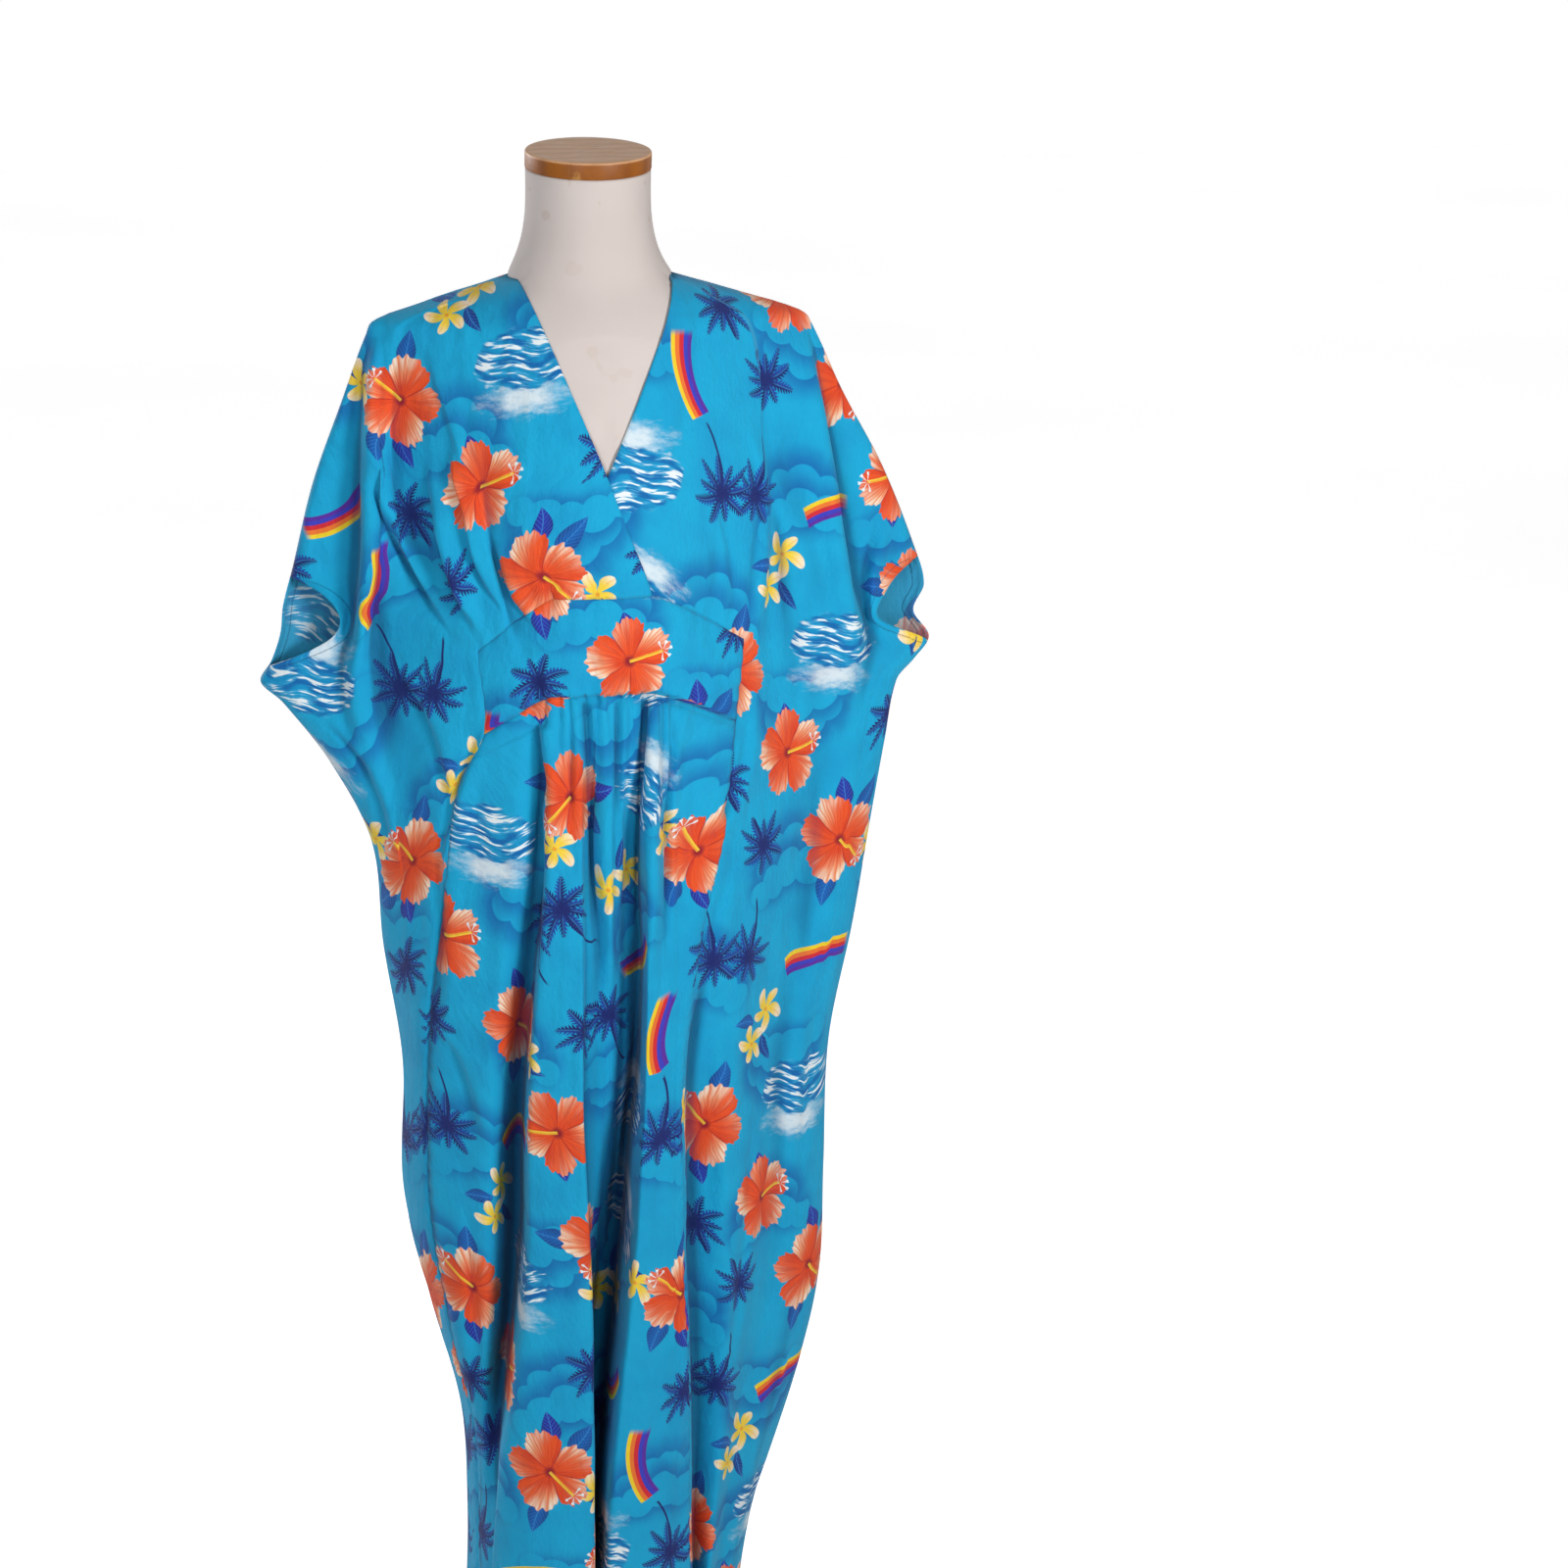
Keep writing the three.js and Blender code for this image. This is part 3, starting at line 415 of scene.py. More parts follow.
def cloth_points(side, columns, rows, neck="lapped"):
    """The outside of the front or back at columns and rows, also between those of the source."""
    lines, line_of = (FRONT, front_line) if side == "front" else (BACK, back_line)
    found = [line_of(index, rows, neck) for index in range(len(lines))]
    line_x, line_depth = (np.array([one[k] for one in found]) for k in (0, 1))
    starts = np.array([line.column for line in lines])
    after = np.clip(np.searchsorted(starts, columns), 1, len(lines) - 1)
    t = (columns - starts[after - 1]) / (starts[after] - starts[after - 1])
    across = np.where(after == 1, (t + t * t) / 2, t)
    across = np.where(after == len(lines) - 1, 1 - ((1 - t) + (1 - t) ** 2) / 2, across)[:, None]
    x = line_x[after - 1] * (1 - across) + line_x[after] * across
    bend = smooth(t)[:, None]
    depth = line_depth[after - 1] * (1 - bend) + line_depth[after] * bend
    x[1:-1] = softened(x)[1:-1]
    depth = softened(depth)
    z = front_height(rows, x) if side == "front" else np.broadcast_to(row_height(rows, "side"), x.shape)
    return np.stack([x, surface_point(side, x, z, depth), z], axis=-1)


def fine_rows():
    """Places of the mesh's rows among the source's, and where each of the source's rows is among them."""
    rows, starts = [], []
    for row in range(HEM):
        drop = max(ROWS[row][k] - ROWS[row + 1][k] for k in range(3))
        count = max(2, round(drop / ROW_STEP))
        starts.append(len(rows))
        rows += [row + k / count for k in range(count)]
    return np.array([*rows, HEM], float), [*starts, len(rows)]


FINE_ROWS, ROW_START = fine_rows()


def unit(vectors):
    """The vectors with their length made 1."""
    return vectors / np.maximum(np.linalg.norm(vectors, axis=-1, keepdims=True), 1e-9)


def outward(points, side):
    """Unit vectors out of the cloth at each point of a grid."""
    along = np.gradient(points, axis=0)
    down = np.gradient(points, axis=1)
    normal = np.cross(down, along)
    return unit(-normal if side == "back" else normal)


def arc(points, axis, dims):
    """Distance along a grid's columns or rows, measured in some of the directions."""
    steps = np.linalg.norm(np.diff(points[..., dims], axis=axis), axis=-1)
    pad = [(0, 0), (0, 0)]
    pad[axis] = (1, 0)
    return np.pad(np.cumsum(steps, axis=axis), pad)


# Folds and creases smaller than the source's, on the front, on the back and of the gathers.
# Each is (out, half, path). out: how far the crest stands out. half: half width of its soft side. Its
# other side is steep, with a narrow valley at its foot. The soft side is the right one, or the left one
# where half is negative. path: (x, z) from end to end.
FRONT_CREASES = (
    (5.4, 16, ((-204, 1372), (-208, 1300), (-210, 1220), (-214, 1150), (-226, 1040))),
    (5.4, -16, ((206, 1372), (216, 1300), (228, 1230), (240, 1160), (256, 1050))),
    (9.5, 11, ((-205, 1292), (-194, 1220), (-161, 1155), (-127, 1092))),
    (7.5, 9, ((-157, 1276), (-149, 1222), (-140, 1184), (-121, 1122), (-106, 1096))),
    (7.5, 10, ((-135, 1300), (-133, 1258), (-126, 1231), (-113, 1172), (-82, 1120))),
    (5.4, 8, ((-103, 1216), (-85, 1155), (-60, 1114))),
    (5.0, 7, ((-152, 1232), (-136, 1163), (-110, 1106))),
    (2.8, 12, ((-158, 1386), (-144, 1334), (-116, 1240))),
    (5.4, 13, ((140, 1304), (158, 1222), (155, 1180), (144, 1090))),
    (3.6, 13, ((165, 1252), (184, 1174), (192, 1086))),
    (2.2, 11, ((10, 1250), (28, 1195), (51, 1150))),
    (3.0, -12, ((98, 1240), (112, 1190), (120, 1120))),
    (7.0, 13, ((290, 1196), (273, 1129), (284, 1081), (312, 1046))),
    (5.0, 15, ((-254, 1024), (-207, 968), (-182, 874))),
    (4.6, 13, ((-192, 1084), (-153, 1021), (-132, 912))),
    (4.6, 13, ((-100, 1052), (-124, 982), (-143, 909), (-151, 816))),
    (4.0, 15, ((150, 1076), (142, 968), (109, 907), (90, 822))),
    (3.6, 18, ((-142, 910), (-142, 809), (-150, 680))),
    (3.6, 18, ((-160, 734), (-128, 690), (-108, 590))),
    (4.2, 20, ((142, 900), (107, 805), (92, 640))),
    (3.0, 16, ((160, 620), (150, 480), (134, 330))),
    (3.0, -16, ((-140, 560), (-134, 440), (-124, 320))),
    (1.6, 7, ((66, 1030), (102, 1050), (142, 1057))),
    (1.4, 9, ((-98, 1056), (-60, 1098), (-16, 1112))),
    (1.2, 8, ((-30, 1110), (10, 1080), (40, 1068))),
)
BACK_CREASES = (
    (4.5, 22, ((-150, 1340), (-128, 1180), (-120, 1000), (-104, 760))),
    (4.0, -22, ((140, 1340), (122, 1190), (124, 1010), (112, 780))),
    (3.2, 16, ((-66, 1310), (-58, 1120), (-64, 900), (-50, 600))),
    (3.2, -16, ((58, 1300), (52, 1100), (60, 880), (54, 580))),
    (4.0, 18, ((-206, 1080), (-170, 980), (-150, 840), (-132, 640))),
    (4.0, -18, ((226, 1080), (196, 970), (178, 830), (158, 640))),
    (3.0, 14, ((-14, 1150), (-6, 900), (-12, 640))),
    (5.0, 20, ((-92, 700), (-78, 460), (-66, 90))),
    (5.0, -20, ((104, 720), (88, 470), (74, 90))),
    (4.6, 16, ((18, 760), (14, 480), (10, 90))),
    (4.0, 16, ((-40, 640), (-34, 400), (-28, 90))),
    (3.0, -14, ((60, 620), (46, 380), (40, 90))),
)
PLEATS = (
    (6.6, 10, ((-59, 1034), (-54, 974), (-56, 924), (-64, 810))),
    (4.0, 7, ((-33, 1060), (-32, 1019), (-34, 930))),
    (6.6, 10, ((-17, 1056), (-11, 970), (-8, 913), (-9, 800))),
    (5.0, 8, ((12, 1056), (11, 970), (9, 921), (11, 800))),
    (7.2, 10, ((42, 1056), (39, 970), (38, 913), (39, 780))),
    (3.6, 6, ((54, 1052), (55, 930))),
    (5.6, 9, ((71, 1045), (64, 979), (61, 916), (59, 790))),
)


# Seeds of the ripples' random draws.
RIPPLE_SEEDS = {"front": 3, "back": 4, "fine": 5}


def ripples(x, z, seed, length, tall, amount):
    """Soft unevenness: waves of about this length across the cloth, and tall times that down it."""
    rng = np.random.default_rng(seed)
    total = np.zeros_like(x)
    for _ in range(7):
        turn = rng.normal(0, 0.5)
        wave = length * rng.uniform(0.7, 1.5)
        place = x * math.cos(turn) + z * math.sin(turn) / tall
        total += np.sin(TAU * place / wave + rng.uniform(0, TAU))
    return amount * total / math.sqrt(7)


def creased(x, z, creases, head):
    """The relief of creases, each fading in over the share head of its length, from the top or right."""
    total = np.zeros_like(x)
    for out, half, path in creases:
        path = np.array(path, float)
        span = np.abs(path[-1] - path[0])
        k = 1 if span[1] >= span[0] else 0
        path = path[np.argsort(path[:, k])]
        place, other = (z, x) if k else (x, z)
        along = (place - path[0, k]) / span[k]
        across = other - smooth_curve(path[:, k], path[:, 1 - k], place)
        across *= math.copysign(span[k] / math.hypot(*span), half)
        half = abs(half)
        ends = smooth(along / 0.4) * smooth((1 - along) / head)
        crest = np.exp(-((across / np.where(across > 0, half, half / 3)) ** 2))
        valley = np.exp(-(((across + half * 0.55) / (half * 0.3)) ** 2))
        total += out * ends * (crest - 0.5 * valley)
    return total


def gathers(x, z):
    """Knife-like gathers that hang from the band's lower seam."""
    drop = front_height(np.full_like(x, BAND_BOTTOM), x) - z
    place = x + 2.5 * np.sin(x / 17) + 0.02 * drop * np.sin(x / 9)
    fine = np.abs(np.sin(math.pi * place / 11.5)) ** 0.6 - 0.62
    reach = smooth((x + 78) / 16) * smooth((88 - x) / 18)
    hang = 3.4 * np.exp(-np.maximum(drop, 0) / 45) + 0.9 * np.exp(-np.maximum(drop, 0) / 200)
    return reach * (fine * hang + creased(x, z, PLEATS, 0.03))


def stitched(away, height, reach, wave):
    """The relief beside a seam: a groove, and puckers of this height that die out over this reach."""
    pucker = height * np.exp(-((away / reach) ** 2)) * wave
    return pucker - SEAM_DIP * np.exp(-((away / SEAM_WIDTH) ** 2))


def finer(points, side, columns, rows):
    """How far each point of the cloth moves out of or into the surface: ripples, creases and seams."""
    x, z = points[..., 0], points[..., 2]
    rest = smooth((1330 - z) / 130)
    move = ripples(x, z, RIPPLE_SEEDS[side], 62, 4.5, 0.8) * (0.3 + 0.7 * rest)
    move += ripples(x, z, RIPPLE_SEEDS["fine"], 26, 3.0, 0.4)
    # Where the form lies close behind the cloth, dips are shallow.
    on_form = (1 - smooth((1215 - z) / 40)) * (1 - smooth((np.abs(x) - 165) / 25))
    move += creased(x, z, FRONT_CREASES if side == "front" else BACK_CREASES, 0.3)
    move = np.where(move < 0, move * (1 - 0.75 * on_form), move)
    if side == "front":
        across, down = arc(points, 0, [0, 1]), arc(points, 1, [1, 2])
        below = rows >= BAND_TOP - 0.01
        for line in (LEFT_SEAM, RIGHT_SEAM):
            away = np.abs(across - across[int(np.searchsorted(columns, line.column))])
            groove = stitched(away, 0.55, 11, np.sin(TAU * down / 17 + 3 * np.sin(down / 90)))
            move += np.where(below, groove, 0)
        middle = (columns >= LEFT_SEAM.column) & (columns <= RIGHT_SEAM.column)
        move += np.where(middle[:, None] & (rows >= BAND_BOTTOM), gathers(x, z), 0)
        for row in (BAND_TOP, BAND_BOTTOM):
            away = np.abs(down - down[:, ROW_START[row]][:, None])
            groove = stitched(away, 0.5, 9, np.sin(TAU * x / 12.5 + np.sin(x / 20)))
            move += np.where(middle[:, None], groove, 0)
    return move


def averaged(values, reach):
    """Values averaged across the cloth over this many columns to each side."""
    sums = np.cumsum(np.pad(values, ((reach + 1, reach), (0, 0)), mode="edge"), axis=0)
    return (sums[2 * reach + 1 :] - sums[: -2 * reach - 1]) / (2 * reach + 1)


def hollow(points, side):
    """From 0 to 1, how deep each point lies in a wide or narrow fold, where less light reaches it."""
    depth = points[..., 1] if side == "front" else -points[..., 1]
    fine = FINE_COLUMNS[side]
    wide = smooth((depth - averaged(depth, 3 * fine) - 8) / 26)
    narrow = smooth((depth - averaged(depth, fine) - 0.3) / 5)
    return np.maximum(wide, 0.75 * narrow)


def lap_rise(points, k):
    """How far the lapped front stands out, by its distance from the lap's edge in column k."""
    away = points[k, :, 0] - points[..., 0]
    below = smooth((1330 - points[..., 2]) / 60)
    return LAP_RISE * smooth((LAP_FLAT + LAP_RAMP - away) / LAP_RAMP) * below


def cloth_grid(side, neck="lapped"):
    """The columns, points and outward directions of the front or back, with the finer folds on it.

    At the side seams the cloth faces straight out to the side, but for the sleeves' open mouths.
    """
    end = LAST_COLUMN[side]
    columns = np.linspace(0, end, end * FINE_COLUMNS[side] + 1)
    points = cloth_points(side, columns, FINE_ROWS, neck)
    normal = outward(points, side)
    loose = (FINE_ROWS > CUFF_TOP) & (FINE_ROWS < CUFF_BOTTOM)
    for edge in (0, -1):
        flat = normal[edge].copy()
        flat[:, 1] = np.where(loose, flat[:, 1], 0)
        normal[edge] = unit(flat)
    move = finer(points, side, columns, FINE_ROWS)
    number = np.arange(len(columns))
    move *= smooth(np.minimum(number, number[::-1]) / PINNED)[:, None]
    if side == "front" and neck == "lapped":
        k = int(np.searchsorted(columns, LAP.column))
        move += lap_rise(points, k) * (columns <= LAP.column)[:, None] * (FINE_ROWS <= BAND_TOP)
    return columns, points + normal * move[..., None], normal


# The print: motifs spread over a repeating tile, each in a disc of its own, and clouds over another.
# Each row is the kind, the radius of its disc in mm, and the turns of its copies in degrees.
TILE = np.array([482.0, 444.0])
DISC_GAP = 2.0
PRINT_SEED, CLOUD_SEED = 11, 5
PUSHES, PUSH = 1500, 0.2  # how many times discs are pushed apart, by this share of their overlap
MOTIFS = (
    ("bouquet", 68, (12, 195, -70)),
    ("hibiscus", 48, (150, -20)),
    ("palms", 60, (0, 170, 24)),
    ("palm", 38, (15, 200)),
    ("rainbow", 45, (8, 100, -150)),
    ("plumeria", 45, (40, -100)),
    ("surf", 56, (4, 176, -28)),
)
CLOUD_TILE = np.array([400.0, 350.0])
CLOUDS = (("cloud", 76, (0, 30, 180, -150, 10)),)


def spread_over(tile, motifs, seed):
    """Centres, radii, turns and kinds of the motifs, pushed apart until their discs don't overlap."""
    rng = np.random.default_rng(seed)
    kinds, radii, turns = zip(*((kind, radius, turn) for kind, radius, all_ in motifs for turn in all_))
    radii = np.array(radii, float)
    centres = rng.random((len(radii), 2)) * tile
    for _ in range(PUSHES):
        away = centres[:, None] - centres[None]
        away -= tile * np.round(away / tile)
        length = np.hypot(away[..., 0], away[..., 1]) + np.eye(len(radii)) * 1e9
        short = np.maximum(0, radii[:, None] + radii[None] + DISC_GAP - length)
        centres = (centres + PUSH * (away / length[..., None] * short[..., None]).sum(1)) % tile
    return centres, radii, np.radians(turns), kinds


KINDS = [kind for kind, _, _ in MOTIFS]
PRINT = spread_over(TILE, MOTIFS, PRINT_SEED)
SKY = spread_over(CLOUD_TILE, CLOUDS, CLOUD_SEED)


def in_motif(corners, layout, tile):
    """Which motif is nearest to each face of the flat cloth, and the face's corners from its middle."""
    centres, radii, turns, _ = layout
    middle = corners.mean(axis=1)
    away = middle[:, None] - centres[None]
    away -= tile * np.round(away / tile)
    nearest = np.argmin(np.hypot(away[..., 0], away[..., 1]) - radii, axis=1)
    local = corners - middle[:, None] + away[np.arange(len(middle)), nearest][:, None]
    along, aside = np.cos(turns[nearest])[:, None], np.sin(turns[nearest])[:, None]
    x = local[..., 0] * along + local[..., 1] * aside
    y = local[..., 1] * along - local[..., 0] * aside
    return nearest, np.stack([x, y], axis=-1)


def add_values(mesh, name, domain, values):
    """An attribute of the mesh that its materials read."""
    mesh.attributes.new(name, "FLOAT", domain).data.foreach_set("value", values.astype(np.float32))


def linked(name, data):
    """A new object in the scene."""
    obj = bpy.data.objects.new(name, data)
    bpy.context.scene.collection.objects.link(obj)
    return obj


def shell(cells):
    """Which points of the grid the cells use, and the faces outside, inside and round the rims."""
    columns, rows = cells.shape
    used = np.zeros((columns + 1, rows + 1), bool)
    for di in (0, 1):
        for dj in (0, 1):
            used[di : columns + di, dj : rows + dj] |= cells
    number = np.cumsum(used.reshape(-1)).reshape(used.shape) - 1
    count = int(used.sum())
    i, j = np.nonzero(cells)
    quads = np.stack([number[i, j], number[i, j + 1], number[i + 1, j + 1], number[i + 1, j]], axis=1)
    rims = []
    padded = np.pad(cells, 1)
    for di, dj, a, b in ((-1, 0, 0, 1), (1, 0, 2, 3), (0, -1, 3, 0), (0, 1, 1, 2)):
        open_side = ~padded[i + 1 + di, j + 1 + dj]
        c, d = quads[open_side][:, [a, b]].T
        rims.append(np.stack([c + count, d + count, d, c], axis=1))
    return used, quads, quads[:, ::-1] + count, np.concatenate(rims)


def cloth_piece(name, side, points, normal, cells, top_row, reference, shift):
    """A closed shell over the grid's cells. shift is where on the printed cloth the piece was cut."""
    used, *parts = shell(cells)
    faces = np.concatenate(parts)
    if side == "back":
        faces = faces[:, ::-1]
    outer = points[used]
    inner = outer - normal[used] * THICKNESS
    mesh = bpy.data.meshes.new(name)
    mesh.from_pydata((np.concatenate([outer, inner]) * MM).tolist(), [], faces.tolist())
    across, down = arc(points, 0, [0, 1]), arc(points, 1, [1, 2])
    s = points[reference, :, 0] + across - across[reference]
    top = points[:, top_row, 2]
    t = -(down - down[:, top_row : top_row + 1] + (points[reference, 0, 2] - top)[:, None])
    flat = np.stack([s + shift[0], t + shift[1]], axis=-1)[used]
    flat = np.concatenate([flat, flat])[faces]
    nearest, local = in_motif(flat, PRINT, TILE)
    in_cloud = in_motif(flat, SKY, CLOUD_TILE)[1]
    edge = edge_places(across, down, used, faces)
    for layer, places in (("print", flat), ("motif", local), ("sky", in_cloud), ("edge", edge)):
        uv = mesh.uv_layers.new(name=layer)
        uv.data.foreach_set("uv", places.reshape(-1).astype(np.float32))
    add_values(mesh, "wrong_side", "FACE", np.repeat([0, 1, 0], [len(part) for part in parts]))
    deep = hollow(points, side)[used]
    add_values(mesh, "hollow", "POINT", np.concatenate([deep, np.zeros_like(deep)]))
    for kind in KINDS:
        mesh.materials.append(CLOTH[kind])
    slots = np.array([KINDS.index(kind) for kind in PRINT[3]])[nearest]
    mesh.polygons.foreach_set("material_index", slots.astype(np.int32))
    mesh.polygons.foreach_set("use_smooth", np.ones(len(faces), bool))
    mesh.update()
    return linked(name, mesh)


def edge_places(across, down, used, faces):
    """For each corner, the way along the nearest stitched hem and how far above its stitching it is."""
    hem = np.stack([across, down[:, -1:] - down - HEM_STITCH], axis=-1)[used]
    near = np.minimum(across, across[-1:] - across)
    cuff = np.stack([down, near - CUFF_STITCH], axis=-1)[used]
    low, high = ROW_START[CUFF_TOP], ROW_START[CUFF_BOTTOM]
    rows = np.broadcast_to(np.arange(across.shape[1]), across.shape)
    at_cuff = ((rows >= low) & (rows <= high) & (near < CUFF_REACH))[used]
    hem, cuff, at_cuff = (np.concatenate([one, one]) for one in (hem, cuff, at_cuff))
    on_cuff = at_cuff[faces].all(axis=1)
    return np.where(on_cuff[:, None, None], cuff[faces], hem[faces])


def srgb(red, green, blue):
    """A colour given as in a picture, 0 to 255, as the linear colour that a shader takes."""
    parts = (part / 255 for part in (red, green, blue))
    linear = (part / 12.92 if part <= 0.04045 else ((part + 0.055) / 1.055) ** 2.4 for part in parts)
    return (*linear, 1.0)


def operation(kind, swapped=False):
    """A method that adds a Math node for two values."""

    def method(self, other):
        return self.tree.math(kind, *((other, self) if swapped else (self, other)))

    return method


class Wire:
    """A value in a node tree. Arithmetic on it adds Math nodes."""

    def __init__(self, tree, socket):
        self.tree, self.socket = tree, socket

    __add__ = __radd__ = operation("ADD")
    __sub__, __rsub__ = operation("SUBTRACT"), operation("SUBTRACT", swapped=True)
    __mul__ = __rmul__ = operation("MULTIPLY")
    __truediv__, __pow__ = operation("DIVIDE"), operation("POWER")


class Tree:
    """A material's node tree, built by calls that return wires."""

    def __init__(self, name):
        self.material = bpy.data.materials.new(name)
        self.material.use_nodes = True
        self.nodes = self.material.node_tree.nodes
        self.links = self.material.node_tree.links
        self.nodes.clear()

    def node(self, kind, inputs=None, **settings):
        made = self.nodes.new(kind)
        for key, value in settings.items():
            setattr(made, key, value)
        for key, value in (inputs or {}).items():
            if isinstance(value, Wire):
                self.links.new(value.socket, made.inputs[key])
            else:
                made.inputs[key].default_value = value
        return made

    def wire(self, output, kind, inputs=None, **settings):
        """An output of a new node."""
        return Wire(self, self.node(kind, inputs, **settings).outputs[output])

    def math(self, kind, *values):
        return self.wire(0, "ShaderNodeMath", dict(enumerate(values)), operation=kind)

    def parts(self, vector):
        """The x, y and z of a vector."""
        made = self.node("ShaderNodeSeparateXYZ", {0: vector})
        return tuple(Wire(self, made.outputs[k]) for k in range(3))

    def uv(self, name):
        return self.parts(self.wire(0, "ShaderNodeUVMap", uv_map=name))[:2]

    def place(self):
        """The object's own coordinates in metres, which are the row frame's."""
        return self.parts(self.wire("Object", "ShaderNodeTexCoord"))

    def attribute(self, name):
        return self.wire("Fac", "ShaderNodeAttribute", attribute_name=name)

    def shader(self, colour, roughness, height=None, height_m=0.0004, **sockets):
        """The Principled shader that ends the tree. height, from 0 to 1, is a relief height_m deep."""
        inputs = {"Base Color": colour, "Roughness": roughness, **sockets}
        if height is not None:
            relief = {"Height": height, "Distance": height_m, "Strength": 1.0}
            inputs["Normal"] = self.wire(0, "ShaderNodeBump", relief)
        self.node("ShaderNodeOutputMaterial", {0: self.wire(0, "ShaderNodeBsdfPrincipled", inputs)})
        return self.material


def math_node(kind):
    """A function that adds a Math node of this kind. The first value it is given is a wire."""

    def add(first, *rest):
        return first.tree.math(kind, first, *rest)

    return add


sin, cos, absolute, root = (math_node(kind) for kind in ("SINE", "COSINE", "ABSOLUTE", "SQRT"))
lowest, highest, whole, fraction = (math_node(kind) for kind in ("MINIMUM", "MAXIMUM", "FLOOR", "FRACT"))
arc_tangent = math_node("ARCTAN2")


def distance(x, y):
    """How far a place is from the middle."""
    return root(x * x + y * y)


def angle(x, y):
    """The direction of a place from the middle, in radians."""
    return arc_tangent(y, x)


def turned(x, y, degrees, at=(0, 0)):
    """Coordinates about another middle, turned."""
    along, aside = math.cos(math.radians(degrees)), math.sin(math.radians(degrees))
    x, y = x - at[0], y - at[1]
    return x * along + y * aside, y * along - x * aside


def noise(x, y, z=0.0, scale=1.0, detail=2.0, roughness=0.5):
    """Soft noise from 0 to 1."""
    place = x.tree.wire(0, "ShaderNodeCombineXYZ", {0: x, 1: y, 2: z})
    inputs = {"Vector": place, "Scale": scale, "Detail": detail, "Roughness": roughness}
    return x.tree.wire(0, "ShaderNodeTexNoise", inputs)


def step(value, low, high):
    """0 where the value is at low, 1 where it is at high, which may be the lower of the two."""
    inputs = {0: value, 1: low, 2: high, 3: 0.0, 4: 1.0}
    return value.tree.wire(0, "ShaderNodeMapRange", inputs, interpolation_type="SMOOTHSTEP")


def blend(share, a, b):
    """Colour a where share is 0 and b where it is 1."""
    return share.tree.wire(2, "ShaderNodeMix", {0: share, 6: a, 7: b}, data_type="RGBA")


GROUND = srgb(10, 168, 216)
DEEP = srgb(0, 98, 172)
WHITE = srgb(236, 244, 248)
WATER = srgb(90, 190, 232)
NAVY = srgb(18, 28, 104)
NAVY_LIGHT = srgb(30, 70, 170)
BLUE_LEAF = srgb(12, 92, 178)
VIOLET_LEAF = srgb(38, 44, 168)
DEEP_LEAF = srgb(16, 62, 150)
LEAF_VEIN = srgb(60, 150, 215)
ORANGE = srgb(240, 84, 22)
RED = srgb(206, 42, 12)
PEACH = srgb(254, 200, 150)
PETAL_WHITE = srgb(254, 238, 220)
CRIMSON = srgb(150, 14, 30)
YELLOW = srgb(250, 214, 60)
AMBER = srgb(240, 160, 40)
PETAL_SHADE = srgb(226, 196, 70)
THREAD = srgb(20, 120, 176)
WORN = srgb(70, 190, 230)
WRONG_SIDE_DULL_AND_SHADED = srgb(74, 146, 182)
FOLD_SHADE = srgb(0, 30, 84)
RAINBOW = (
    srgb(92, 38, 160), srgb(60, 60, 190), srgb(214, 34, 46), srgb(240, 120, 40), srgb(246, 212, 34),
)


def petals(direction, count):
    """Which of a flower's petals a direction falls in, and where in it, from -0.5 to 0.5."""
    share = direction * (count / TAU) + 2 * count
    which = whole(share)
    return which, share - which - 0.5


def within(value, edge, soft=0.4):
    """1 where the value is under the edge and 0 beyond it."""
    return step(value, edge + soft, edge - soft)


def sky(x, y, s, t):
    """The ground colour with tone-on-tone clouds, a deeper blue behind their scalloped edges."""
    drift = noise(s, t, scale=0.012, detail=2.0)
    x, y = x + (drift - 0.5) * 14, y + (drift - 0.5) * 10

    def lobes(circles):
        near = None
        for cx, cy, radius in circles:
            away = distance(x - cx, y - cy) - radius
            near = away if near is None else lowest(near, away)
        return near

    rear = lobes(((-34, 4, 15), (-15, 17, 17), (9, 19, 18), (32, 8, 16)))
    front = lobes(((-47, -20, 14), (-25, -11, 17), (1, -4, 19), (26, -12, 17), (46, -22, 13)))
    behind_rear = step(rear, -0.8, 0.8) * step(rear, 26, -4)
    behind_front = step(front, -0.8, 0.8) * step(front, 22, -4)
    shade = highest(behind_rear, behind_front) * (1 - within(front, 0, 0.8))
    low = step(y, -46, -20)
    rim = step(distance(x, y), 75, 52)
    tone = noise(s, t, scale=0.021, detail=3.0)
    ground = blend(step(tone, 0.35, 0.75) * 0.22, GROUND, DEEP)
    return blend(shade * low * rim * (0.55 + 0.6 * tone), ground, DEEP)


def leaf(x, y, under, long, wide, colour):
    """A pointed leaf along x from its stalk, with a midrib and side veins."""
    share = x / long
    inside = step(share, 0.0, 0.02) * step(share, 1.0, 0.98)
    held = lowest(highest(share, 0.001), 0.999)
    half = sin((held**0.8) * math.pi) * wide
    across = absolute(y + sin(held * 3.2) * 2.0)
    mask = within(across, half) * inside
    veins = step(sin((x - across * 1.1) * (TAU / 4.4)), 0.55, 0.95) * 0.55
    rib = step(across, 0.7, 0.2)
    tone = blend(step(across, 0, wide) * 0.5, colour, NAVY)
    tone = blend(highest(veins * 0.6, rib * 0.7), tone, LEAF_VEIN)
    return blend(mask, under, tone)


